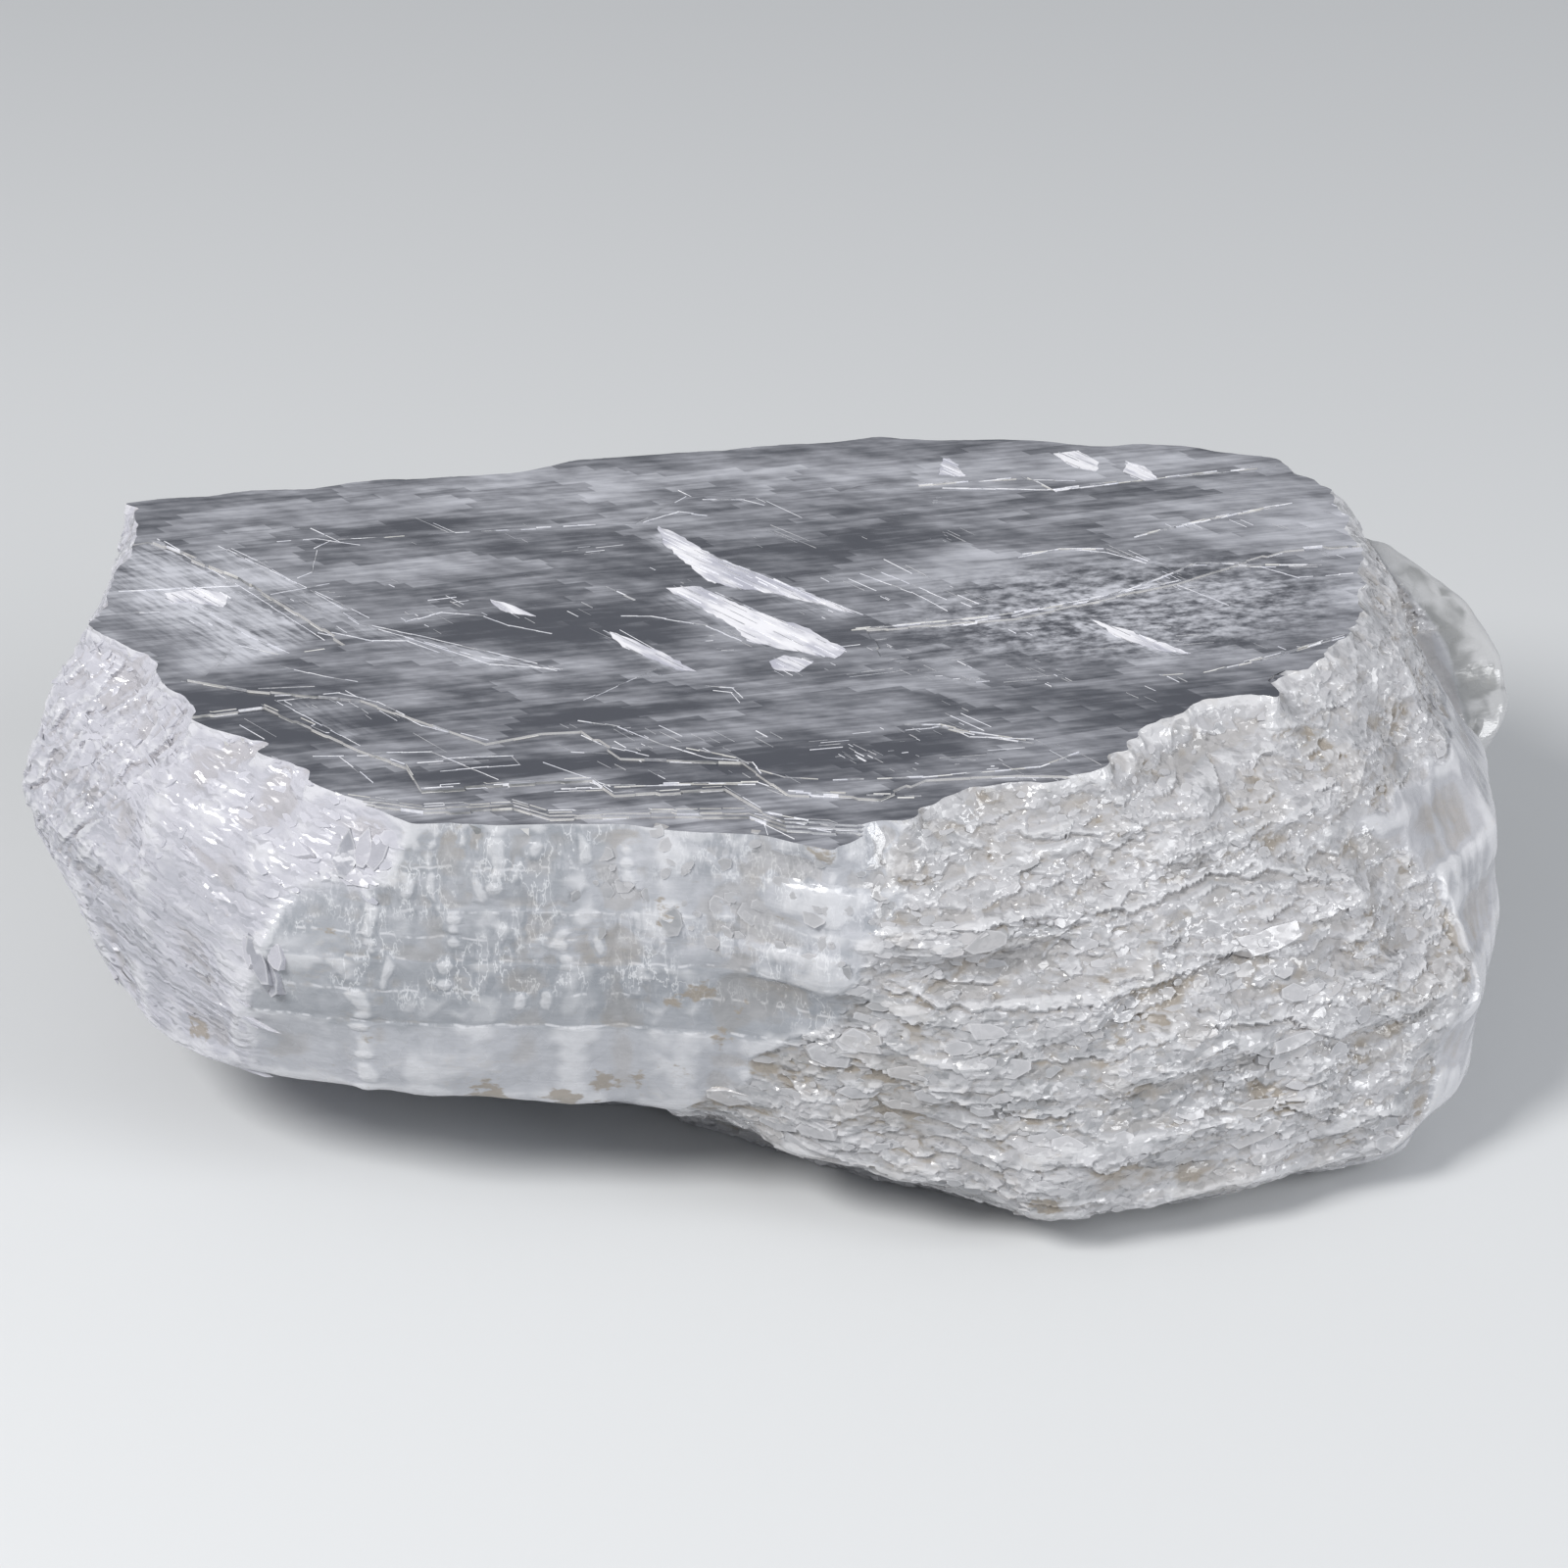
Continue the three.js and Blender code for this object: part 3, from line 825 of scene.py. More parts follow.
# the staircase edges of sheets at many depths: tooth and size along each trace, how many depths, how bright
TOOTH_A, TOOTH_B = 0.4, 1.7
SHEET_A, SHEET_B = 40, 15
SHEET_LEVELS = 6.0
SHEET_STRENGTH = 0.2


def cleavage_edges():
    """Faint sheets at many depths, whose staircase edges follow both cleavage traces."""
    here = crystal_places() - tuple(ORIGIN / MM)
    a, b = (heading(turn).to_3d() for turn in (TRACE_A, TRACE_B))
    area = a.x * b.y - a.y * b.x
    s = maths("SNAP", measured("DOT_PRODUCT", here, Vector((b.y, -b.x, 0)) / area), TOOTH_A)
    t = maths("SNAP", measured("DOT_PRODUCT", here, Vector((-a.y, a.x, 0)) / area), TOOTH_B)
    place = node("CombineXYZ", "Vector", X=s * (1 / SHEET_A), Y=t * (1 / SHEET_B), Z=SHEET_LEVELS)
    level = node("TexNoise", "Fac", Vector=place, Scale=1.0, Detail=1.0) * SHEET_LEVELS
    return maths("FRACT", level) * SHEET_STRENGTH


# the mottled haze at the right of the top: its middle, length and width
HAZE = (40, -8, 34, 17)


def near(x, y, length, width):
    """Falls from one at a place on the top to nothing at an oval round it."""
    where = node("Mapping", "Vector", {"vector_type": "TEXTURE"}, Vector=object_places(),
                 Location=Vector((x, y, 0)) * MM + ORIGIN, Rotation=(0, 0, STREAK_TURN),
                 Scale=(length * MM, width * MM, 1000))
    return between(measured("LENGTH", where), 1.0, 0.3)


# the clear, dark inside seen through the top, and its milkiest haze
DEEP_TONE = (0.075, 0.08, 0.1)
MILKY_TONE = (0.78, 0.79, 0.86)


def top_finish():
    material = new_finish("clear_cleavage", 0.3)
    streaks = grain(0.8, (12, 1, 1), STREAK_TURN, detail=3, roughness=0.6)
    clouds = grain(9, (2.6, 1, 1), STREAK_TURN, detail=2, shift=5)
    wisps = grain(3.0, (2.2, 1, 1), TRACE_B * 0.3, detail=2, roughness=0.6, shift=15)
    mottle = grain(1.3, (1.6, 1, 1), STREAK_TURN, detail=3, roughness=0.65, shift=9)
    haze = near(*HAZE) * (mottle * 2.0 - 0.88)
    lightness = streaks * 0.6 + clouds * 0.7 + wisps * 0.65 + mottle * 0.22 - 1.005
    lightness += patches() + haze + cleavage_edges() + veils()
    lumps = grain(2, (1.6, 1, 1), STREAK_TURN, detail=1, shift=9)
    give(Base_Color=blend(between(lightness, -0.15, 0.95), DEEP_TONE, MILKY_TONE),
         Roughness=between(lightness, 0.1, 0.6, 0.06, 0.25), Normal=raised(lumps, 0.15, 0.06))
    return material


# ---- finish of the walls ----
PALE = (0.79, 0.8, 0.85)
GREY = (0.36, 0.385, 0.42)
# a dark earthen brown, used for dirt spots and also as painted shade with dirt in crevices and under the lips
# of scales
EARTH_AND_SHADE = (0.26, 0.22, 0.17)
STAINED = (0.58, 0.52, 0.44)
# what each kind of surface takes from the light that falls on it
TINTS = {"scaly": (0.585, 0.573, 0.56), "fibrous": (0.655, 0.645, 0.67), "glassy": (0.645, 0.645, 0.65),
         "satin": (0.665, 0.652, 0.648)}
LOBE_TONE = (0.19, 0.19, 0.178)
LINE_TONE = (0.85, 0.86, 0.9)
CRACK_TONE = (0.92, 0.94, 0.97)
HOLLOW_TONE = (0.33, 0.36, 0.4)
# painted highlight for the ridges that stand proud of the wall
RIDGE_HIGHLIGHT = (0.8, 0.8, 0.82)
# heights of the fine lines across the glassy front
CROSS_LINES = (45.6, 40.3, 37.2, 34.3, 30.2, 26)


def cross_lines(patchy):
    """How strongly the fine lines show at a place."""
    wavy = grain(3, detail=1) * 1.2 + along_axis(crystal_places(), "Z")
    total = 0.0
    for line in CROSS_LINES:
        total += between(maths("ABSOLUTE", wavy - (line + 0.6)), 0.22, 0.06, 0.0, 0.8)
    return total * between(patchy, 0.44, 0.6)


def walls_finish():
    material = new_finish("broken_selenite", 0.05)
    fine, broad = painted("proud_fine"), painted("proud_broad")
    light, stain, dull, dirty, marked = (painted(n) for n in TONES)
    fibrous, glassy, satin, lobe, scaly = (painted(n) for n in KINDS)
    shares = {"scaly": scaly, "fibrous": fibrous, "glassy": glassy, "satin": satin}
    places = bent_places()
    flakes, crumbs = shards(places, 1.8, (1.3, 1.3, 0.7)), shards(places, 0.7, (1.2, 1.2, 0.7))
    splinters = shards(places, 0.8, (0.7, 6, 0.45), TRACE_B + math.pi / 2)
    mottled = along_axis(flakes + crumbs, "X") * (scaly * 0.2 + 0.06)
    tone = light + mottled + along_axis(splinters, "X") * (fibrous * 0.3)
    colour = blend(between(tone, 0.0, 1.0), GREY, PALE)
    squiggles = grain(1.3, (1, 1, 2.8), detail=3, roughness=0.6, shift=12)
    colour = blend(glassy * cross_lines(squiggles), colour, LINE_TONE)
    ragged = grain(0.9, (1.4, 1.4, 0.7), detail=2, roughness=0.65, shift=41) * 1.6 - 0.8
    colour = blend(between(stain + ragged, 0.2, 0.6) * 0.2, colour, STAINED)
    colour = blend(between(squiggles, 0.45, 0.4, 0.0, 0.45) * marked, colour, HOLLOW_TONE)
    contour = maths("ABSOLUTE", squiggles - 0.53)
    colour = blend(between(contour, 0.024, 0.008, 0.0, 0.75) * marked, colour, CRACK_TONE)
    for kind, tint in TINTS.items():
        colour = blend(shares[kind], colour, tint, "MULTIPLY")
    colour = blend(lobe * 0.75, colour, LOBE_TONE)
    # painted highlight: lighter where the surface stands proud of its neighbours
    colour = blend(between(fine, 0.02, 0.14, 0.0, 0.35), colour, RIDGE_HIGHLIGHT)
    # painted shade and dirt: darker and browner the deeper a place lies below its neighbours, more so where
    # stained
    grime_and_shade = between(fine + broad * 0.3, -0.03, -0.14) * (stain * 0.5 + 0.2)
    spots = between(dirty + ragged, 0.3, 0.7, 0.0, 0.75)
    colour = blend(maths("MAXIMUM", grime_and_shade, spots), colour, EARTH_AND_SHADE)
    lean = flakes * (scaly * 0.4 + 0.04) + crumbs * (scaly * 0.45 + 0.06) + splinters * (fibrous * 0.7)
    lines = raised(grain(0.45, (7, 7, 0.7), detail=1, shift=2), 0.3, 0.1)
    give(Base_Color=colour, Roughness=between(dull, 0.25, 0.75, 0.12, 0.36),
         Normal=maths("NORMALIZE", lines + lean))
    return material


def chip_finish(name, tint, transmission, rim_highlight, grime_and_shade_share):
    """Finish of loose scales, like the wall they sit on, with a painted highlight at the rim, and painted
    shade with grime where they meet the wall.
    """
    material = new_finish(name, transmission, absorbs=False)
    light, stain, edge = (painted(n) for n in ("light", "stain", "edge"))
    crumbs = shards(crystal_places(), 0.7, (1.2, 1.2, 0.7))
    mottle = grain(2.2, detail=2, roughness=0.6)
    colour = blend(between(light + mottle * 0.5 - 0.25, 0.0, 1.0), GREY, PALE)
    colour = blend(stain * 0.2, colour, STAINED)
    colour = blend(1.0, colour, tint, "MULTIPLY")
    # painted highlight: lighter round the rim of each scale
    colour = blend(between(maths("ABSOLUTE", edge), 0.18, 0.0, 0.0, rim_highlight), colour, (0.82, 0.82, 0.84))
    # painted shade and grime: darker brown on the side of each scale that meets the wall
    grime_and_shade = between(edge, -0.2, -0.6) * (stain * grime_and_shade_share + grime_and_shade_share * 0.4)
    give(Base_Color=blend(grime_and_shade, colour, EARTH_AND_SHADE), Roughness=between(mottle, 0.35, 0.65, 0.12, 0.34),
         Normal=maths("NORMALIZE", raised(mottle, 0.3, 0.15) + crumbs * 0.25))
    return material


def step_finish():
    material = new_finish("step_edge", 0.4)
    colour = blend(grain(6, detail=2, shift=4), (0.8, 0.78, 0.75), (0.94, 0.94, 0.97))
    broken = grain(4, (3, 3, 1), detail=4, roughness=0.7)
    give(Base_Color=blend(between(broken, 0.34, 0.5), (0.3, 0.31, 0.32), colour), Roughness=0.3)
    return material


block.data.materials.clear()
for finish in (top_finish(), walls_finish(), step_finish()):
    block.data.materials.append(finish)
for face in block.data.polygons:
    face.material_index = kind_of_face(face)
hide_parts(NODE)
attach(block, "root")


# ---- lenses, cracks and needles in the top face ----
def face_height(place):
    """Height of the top face under a place in millimetres, or None where the top isn't."""
    over = Vector((place.x, place.y, 0)) * MM + ORIGIN + Vector((0, 0, TOP + PROUD))
    hit, point, normal, _ = block.ray_cast(over, Vector((0, 0, -1)))
    return point.z if hit and normal.z > 0.95 and point.z > FACE - PROUD else None


def plate(work, start, end, width, proud, depth, lean=0.0):
    """A thin upright splinter from start to end, standing proud of the top face, in millimetres."""
    start, end = Vector(start), Vector(end)
    run, middle = end - start, (start + end) / 2
    heights = [face_height(place) for place in (start, middle, end)]
    if None in heights:
        return
    centre = Vector((middle.x, middle.y, 0)) * MM + ORIGIN
    centre.z = min(heights) + (proud - depth / 2) * MM
    place = Matrix.Translation(centre) @ Matrix.Rotation(math.atan2(run.y, run.x), 4, "Z")
    size = Matrix.Diagonal((run.length * MM, width * MM, depth * MM, 1))
    bmesh.ops.create_cube(work, size=1, matrix=place @ Matrix.Rotation(lean, 4, "X") @ size)


# cracks and fine step edges drawn on the top: width, and the line
HAIRLINES = [
    (0.14, [(-75.6, 11.3), (-64, -2), (-53.2, -15.9)]), (0.1, [(-67.2, -8.9), (-62, -15), (-56.3, -19.7)]),
    (0.1, [(-67.9, 8.8), (-48.4, -10.8)]), (0.08, [(-66.3, 8), (-62.9, 4.7), (-56.6, -2.9)]),
    (0.12, [(-49.5, -12.3), (-41.6, -15.9), (-25.4, -24.3)]), (0.1, [(-43.8, -15.9), (-33.6, -23),
    (-25.4, -24.3)]), (0.08, [(-47, -14), (-36, -20.5), (-26, -24.6)]), (0.1, [(-61, 9.9), (-56.4, 10.8),
    (-51.1, 9.1), (-50.5, 10.8)]), (0.14, [(-56.4, 8), (-53.8, 11.3), (-46.1, 11.9), (-30.2, 13.6),
    (-31.5, 15.5)]), (0.12, [(-57.4, -31.4), (-47, -42.4)]), (0.14, [(-57.1, -31.6), (-50.3, -30.2),
    (-45.8, -32.4), (-40.4, -37.7), (-32.9, -41.7)]), (0.12, [(-8.9, -28.5), (-5.8, -29), (-4.7, -31.4)]),
    (0.06, [(-22.5, -32.1), (-17.8, -27.5), (-14.7, -24.3)]), (0.12, [(-7.8, 5.2), (9.1, -10)]),
    (0.1, [(-9.2, -2.9), (7, -19.7)]), (0.1, [(-60.4, -4.7), (-53.8, -1.8)]), (0.2, [(-78.5, -3),
    (-64.5, -1.5)]), (0.1, [(-56, 7.5), (-56, 1.5), (-57.5, 0)]), (0.18, [(-54, -14), (-47.5, -17),
    (-43.5, -17), (-37, -22)]), (0.18, [(-44, -12), (-40, -9.5), (-35, -10.5), (-32, -13), (-27, -15)]),
    (0.12, [(-57.5, -23.5), (-52.5, -26), (-48.5, -27.5)]), (0.14, [(-52, -44.5), (-39, -44), (-30, -51.5),
    (-39, -52.5)]), (0.14, [(-37, -45.5), (-30, -45), (-29, -47), (-37.5, -48.5)]), (0.14, [(-49, -44.5),
    (-45, -50.5)]), (0.12, [(-26.5, -46.5), (-19, -52)]), (0.12, [(-25, -42.5), (-23.5, -44),
    (-19.5, -44.5)]), (0.18, [(-30, 14), (-17, 15.5), (-13, 18.5), (-9.5, 17.5)]), (0.14, [(-13, 25.5),
    (-10, 22), (-5, 22), (-2.5, 20.5)]), (0.16, [(10.5, 2.5), (19, -6)]), (0.14, [(9, 1), (15, -4),
    (19, -9)]), (0.18, [(-19, -10.5), (-15.5, -10.5), (-9, -13), (-5, -17)]), (0.45, [(-21, -2.5),
    (-17.5, -6)]), (0.14, [(-8, -29.5), (-6, -30), (-5, -32.5)]), (0.22, [(-23, -37), (-18.5, -38.5),
    (-14, -42.5), (-8.5, -46), (-3.5, -47), (-2.5, -49.5)]), (0.16, [(-22.5, -40), (-19, -43.5),
    (-15, -45.5)]), (0.16, [(13.5, -39.5), (18, -38.5), (20.5, -41), (27.5, -41.5)]), (0.14, [(-3.5, -58),
    (1, -62.5)]), (0.3, [(18, -13), (26.5, -10.5), (33, -7), (40, -4), (46.5, -1)]), (0.16, [(28, 5.5),
    (33, 8), (38.5, 7), (43, 4)]), (0.4, [(44, 12.5), (50.5, 15.5), (57, 19), (62, 21)]),
    (0.3, [(19.5, 25.5), (34, 25), (39.5, 26.5), (46.5, 28.5), (59, 32)]), (0.16, [(50.5, 4), (56.5, 3.5),
    (61, 0.5), (67.5, 1.5)]), (0.14, [(46.5, -1.5), (52, -7)]), (0.25, [(47.5, -25), (55, -21), (62, -16.5),
    (67.5, -13.5)]), (0.18, [(17.5, -38.5), (21, -40.5), (27.5, -42.5)]), (0.3, [(47, -35), (52.5, -32),
    (56, -31)]),
]
# bright lenses of parted cleavage, and the puffs near the back edge
LENSES = [
    [(-15.2, 14.4), (-13, 12.2), (-7.4, 4.4), (-0.9, -0.7), (8.2, -9.7), (3.4, -6.8), (-1.4, -4.2),
    (-6.9, -2.3), (-9, -1), (-12, 4.7), (-14.4, 9.1)], [(-13.9, -2.9), (-9.8, -2.6), (-3.4, -9.2),
    (2.3, -13.4), (7.1, -19.2), (5.8, -21.5), (0.9, -19.5), (-4.3, -16.9), (-5.7, -13.4), (-9.4, -8.7)],
    [(-1.7, -22.3), (0, -20.7), (3.4, -22.3), (1.7, -25), (-1.1, -24.3)], [(-20.2, -14.6), (-16.9, -17.2),
    (-13.5, -20.5), (-10, -24.8), (-12.3, -24.3), (-15.7, -21.2), (-18.6, -18.5)], [(-73, -3.5),
    (-69, -2.2), (-65.5, -4), (-65.7, -7.2), (-69, -6), (-72, -6)], [(-34.5, -6), (-32.1, -7.4),
    (-28.9, -10.5), (-30.9, -10), (-33.2, -8.7)], [(35.9, -11), (39.8, -13.6), (46.7, -19.7), (42.8, -18.7),
    (38.5, -15.4)], [(19.2, 30.2), (19.8, 35), (20.7, 35), (22.5, 29.7)], [(33.7, 36.5), (36.9, 37.4),
    (39.3, 33.8), (38.7, 31.1), (36, 32.6)], [(42.1, 30.8), (43, 33.8), (44.9, 32.6), (46.3, 28.5),
    (44.2, 28.2)],
]


def crossings(outline, offset, direction):
    """Where a line along direction, offset sideways from the origin, crosses an outline."""
    across = Vector((-direction.y, direction.x))
    found = []
    for i, corner in enumerate(outline):
        a, b = Vector(outline[i - 1]), Vector(corner)
        da, db = a.dot(across) - offset, b.dot(across) - offset
        if (da < 0) != (db < 0):
            found.append((a + (b - a) * (da / (da - db))).dot(direction))
    return sorted(found)


# how wide a fibre of a lens is, in millimetres
FIBRE = 0.5


def fibres(bright, faint, outline, chance):
    """Bright fibres side by side along trace B, here and there over a lens."""
    direction = heading(TRACE_B)
    across = Vector((-direction.y, direction.x))
    offsets = [Vector(c).dot(across) for c in outline]
    offset = min(offsets) + FIBRE / 2
    while offset < max(offsets):
        ends = crossings(outline, offset, direction)
        for start, end in zip(ends[::2], ends[1::2]):
            start += chance.uniform(-0.8, 1.5)
            while end - start > 0.4:
                stop = min(end + chance.uniform(-0.5, 0.8), start + chance.uniform(1, 6))
                work = bright if chance.random() < 0.5 else faint
                plate(work, direction * start + across * offset, direction * stop + across * offset,
                      chance.uniform(0.06, 0.16), chance.uniform(0.06, 0.12), 0.4, chance.uniform(-0.3, 0.3))
                start = stop + chance.uniform(0, 3)
        offset += FIBRE * chance.uniform(1, 3)


def frayed(outline, chance):
    """An outline with its sides drawn in and out a little."""
    for start, end in zip(outline, outline[1:] + outline[:1]):
        start, end = Vector(start), Vector(end)
        side = side_of(start, end)
        count = max(1, round((end - start).length / 0.8))
        for i in range(count):
            yield start.lerp(end, i / count) + side * (chance.gauss(0, 0.12) if i else 0)


# a lens is sunk this deep in the top face, and stands this proud of it
SUNK = 0.1 * MM
LENS_PROUD = 0.05 * MM


def sheet(work, outline, seed):
    """A thin sheet lying on the top face, with a toothed outline."""
    centre = sum((Vector(c) for c in outline), Vector((0, 0))) / len(outline)
    floor_z = face_height(centre)
    if floor_z is None:
        return
    around = list(frayed(outline, random.Random(seed)))
    prism(work, around, floor_z - SUNK, SUNK + LENS_PROUD)


def jagged(line, chance):
    """Short lengths of a line, each nudged sideways a little, with a few left out."""
    for start, end in zip(line, line[1:]):
        start, end = Vector(start), Vector(end)
        count = max(1, round((end - start).length / 1.6))
        side = side_of(start, end)
        for i in range(count):
            if chance.random() > 0.04:
                nudge = side * chance.gauss(0, 0.05)
                yield start.lerp(end, i / count) + nudge, start.lerp(end, (i + 1.1) / count) + nudge


def loose_piece(name, work, finish):
    """A finished piece of selenite that rides on the block."""
    mesh = mesh_of(name, work)
    mesh.materials.append(finish)
    piece = new_object(name, mesh)
    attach(piece, "root")
    return mesh


def veil_finish(name, dim, bright, transmission, roughness, size=0.5):
    """Finish of a parted sheet, with streaks along trace B from dim to bright."""
    material = new_finish(name, transmission, absorbs=False)
    streak = grain(size, (5, 1, 1), TRACE_B, detail=4, roughness=0.6)
    cloud = grain(size * 6, (2, 1, 1), TRACE_B, detail=2, shift=3)
    give(Base_Color=blend(between(streak + cloud, 0.8, 1.2), dim, bright), Roughness=roughness)
    return material


bright_veil = veil_finish("bright_veil", (0.72, 0.73, 0.8), (0.96, 0.96, 1.0), 0.1, 0.25)
faint_veil = veil_finish("faint_veil", (0.45, 0.46, 0.5), (0.75, 0.75, 0.78), 0.4, 0.3)
warm_veil = veil_finish("warm_veil", (0.6, 0.585, 0.56), (0.93, 0.92, 0.9), 0.2, 0.3, 2)
lens_veil = veil_finish("lens_veil", (0.47, 0.47, 0.55), (0.97, 0.96, 1.0), 0.2, 0.15, 1.2)
chance = random.Random(11)
lenses, bright, faint, warm = (bmesh.new() for _ in range(4))
for i, outline in enumerate(LENSES):
    sheet(lenses, outline, i + 40)
    fibres(bright, faint, outline, chance)
for width, line in HAIRLINES:
    for start, end in jagged(line, chance):
        work = bright if chance.random() < 0.85 else faint
        plate(work, start, end, width * chance.uniform(0.25, 0.75), 0.06, chance.uniform(0.2, 0.4))
# fans of fine lines beside the longer steps: how many, how far apart, and the line
FANS = [
    (1, 0.45, [(-10.8, -43.3), (-5.4, -45.7), (-2.7, -48.7), (0, -50.3), (5.3, -51), (15, -50.3),
    (21.4, -49.1), (27.9, -48), (32.4, -44.5)]), (2, 0.5, [(-25.6, -52.1), (-10.7, -51.4), (-3.7, -51.2),
    (-0.5, -53.7), (6.9, -54.4), (17, -54.4), (21.3, -52.6)]), (2, 0.4, [(8.5, -13.9), (22.8, -10.8),
    (37.4, -6), (46.5, 1.2), (49.6, 3.9), (64.2, 3.9)]), (2, 0.5, [(16.9, 26.4), (30.4, 29.4), (33.8, 25),
    (46.1, 28.8), (59.2, 32.6)]), (2, 0.4, [(48, -24.8), (56.2, -21), (67.6, -13.9)]),
    (3, 0.5, [(47.2, -34.5), (52.9, -32.6), (58.1, -30.2)]), (2, 0.4, [(42.5, 11.6), (51.2, 16.4),
    (59.9, 20.1)]), (2, 0.3, [(28.7, 6.6), (32.9, 8), (38.8, 8), (42.7, 4.7)]), (2, 0.4, [(13.1, -38.1),
    (16.9, -38.1), (20.1, -39.8), (26.1, -41.7)]), (2, 0.5, [(-3.2, -57.7), (5.3, -61)]),
]
for count, apart, line in FANS:
    for i in range(count):
        shift = Vector((chance.gauss(0, 0.5), (i - count / 2) * apart))
        bent = [Vector(corner) + shift * chance.uniform(0.5, 1.5) for corner in line]
        for start, end in jagged(bent, chance):
            if chance.random() < 0.85:
                work = chance.choice((bright, warm, faint))
                plate(work, start, end, chance.uniform(0.06, 0.18), chance.uniform(0.04, 0.14), 0.4)
# the share of the steps' edges that catch the light
STEP_LINED = 0.7
for _, edge, _ in terrace_edges():
    for start, end in zip(edge, edge[1:]):
        if chance.random() < STEP_LINED and (end - start).length > 0.3:
            work = chance.choice((bright, faint, warm))
            plate(work, start, end, chance.uniform(0.05, 0.14), chance.uniform(0.0, 0.06), 0.3)
loose_piece("white_lenses", lenses, lens_veil)

# where short needles gather: centre, spread along and across, how many
NEEDLE_FIELDS = [
    (15, -5, 16, 9, 12), (12, -22, 14, 6, 14), (-10, -42, 30, 7, 20), (-45, -10, 20, 12, 12),
    (-50, -35, 14, 6, 8), (35, -25, 24, 10, 14), (20, -46, 22, 5, 16), (0, 15, 50, 14, 14),
    (50, 5, 20, 16, 12), (-20, -15, 24, 14, 12), (-66, -8, 12, 10, 16),
]


def needles(bright, faint, x, y, chance):
    """A few short cracks side by side along one cleavage trace."""
    trace = TRACE_B + chance.gauss(0, 0.04) if chance.random() < 0.8 else STREAK_TURN + chance.gauss(0, 0.05)
    along = heading(trace)
    across = Vector((-along.y, along.x))
    length = chance.choice((0.5, 0.8, 1.2, 2, 3.5))
    for i in range(chance.choice((1, 2, 3, 4))):
        place = Vector((x, y)) + across * i * chance.uniform(0.4, 1.4) + along * chance.gauss(0, 1.5)
        half = along * length * chance.uniform(0.4, 1)
        work = bright if chance.random() < 0.3 else faint
        plate(work, place - half, place + half, chance.uniform(0.04, 0.1), chance.uniform(0, 0.08),
              chance.uniform(0.2, 0.4), chance.uniform(-0.2, 0.2))


for x, y, along, across, count in NEEDLE_FIELDS:
    for _ in range(count):
        needles(bright, faint, chance.gauss(x, along / 2), chance.gauss(y, across / 2), chance)
loose_piece("bright_cracks", bright, bright_veil)
loose_piece("faint_cracks", faint, faint_veil)
loose_piece("warm_cracks", warm, warm_veil)


# ---- scales, blades and ribs on the walls ----
class Chips:
    """Gathers many small flakes into one mesh, a batch at a time."""
    BATCH = 80

    def __init__(self, name):
        self.name, self.count = name, 0
        self.whole = self.with_layers()[0]
        self.batch, self.layers = self.with_layers()

    def with_layers(self):
        work = bmesh.new()
        return work, [work.verts.layers.float.new(name) for name in ("light", "stain", "edge")]

    def add(self, place, outward, size, lean, turn, tip, light, stain, sides, dome, chance):
        """One many-sided flake: width, height and thickness, tipped and turned on the wall."""
        light_layer, stain_layer, edge_layer = self.layers
        verts = bmesh.ops.create_cone(self.batch, cap_ends=True, segments=sides, radius1=0.5, radius2=0.42,
                                      depth=1)["verts"]
        outer = [v for v in verts if v.co.z > 0]
        cap = next(f for f in outer[0].link_faces if all(v.co.z > 0 for v in f.verts))
        centre = bmesh.ops.poke(self.batch, faces=[cap])["verts"][0]
        along = Vector((-outward.y, outward.x, 0)).normalized()
        frame = Matrix((along, outward.cross(along), outward)).transposed().to_4x4()
        matrix = Matrix.Translation(place) @ frame @ Matrix.Rotation(turn, 4, "Z")
        matrix = matrix @ Matrix.Rotation(-lean, 4, "X") @ Matrix.Rotation(tip, 4, "Y")
        for vert in verts + [centre]:
            wide = chance.uniform(0.75, 1.2) if vert is not centre else 1
            offset = dome if vert is centre else chance.uniform(-0.08, 0.08)
            vert[light_layer], vert[stain_layer] = light, stain
            vert[edge_layer] = 1.0 if vert is centre else (0.0 if vert.co.z > 0 else -1.0)
            x, y, z = (c * reach for c, reach in zip(vert.co, size))
            vert.co = matrix @ (Vector((x * wide, y * wide, z + offset)) * MM)
        self.count += 1
        if self.count % self.BATCH == 0:
            self.gather()

    def gather(self):
        mesh = bpy.data.meshes.new("batch")
        self.batch.to_mesh(mesh)
        self.whole.from_mesh(mesh)
        self.batch.free()
        self.batch, self.layers = self.with_layers()
        bpy.data.meshes.remove(mesh)

    def finish(self, material):
        self.gather()
        for vert in self.whole.verts:
            vert.co = Vector([min(max(c, a), b) for c, a, b in zip(vert.co, low, high)])
        loose_piece(self.name, self.whole, material).set_sharp_from_angle(angle=math.radians(38))


out_normals = broad_normals(block.data, 25)
wall_faces = [f for f in block.data.polygons if f.material_index == WALLS and abs(f.normal.z) < 0.97]
kind_values = {}
for kind in KINDS + ("light", "stain"):
    values = np.empty(len(block.data.vertices))
    block.data.attributes[kind].data.foreach_get("value", values)
    kind_values[kind] = values


def scattered(kind, count, weigh, chance):
    """Random places on one kind of wall: place, way out, lightness and stain."""
    weights = []
    for face in wall_faces:
        vertex = face.vertices[0]
        weights.append(face.area * kind_values[kind][vertex] * weigh((face.center - ORIGIN) / MM))
    for face in chance.choices(wall_faces, weights=weights, k=count):
        vertex = face.vertices[0]
        yield (face.center.copy(), Vector(out_normals[vertex]), kind_values["light"][vertex],
               kind_values["stain"][vertex])


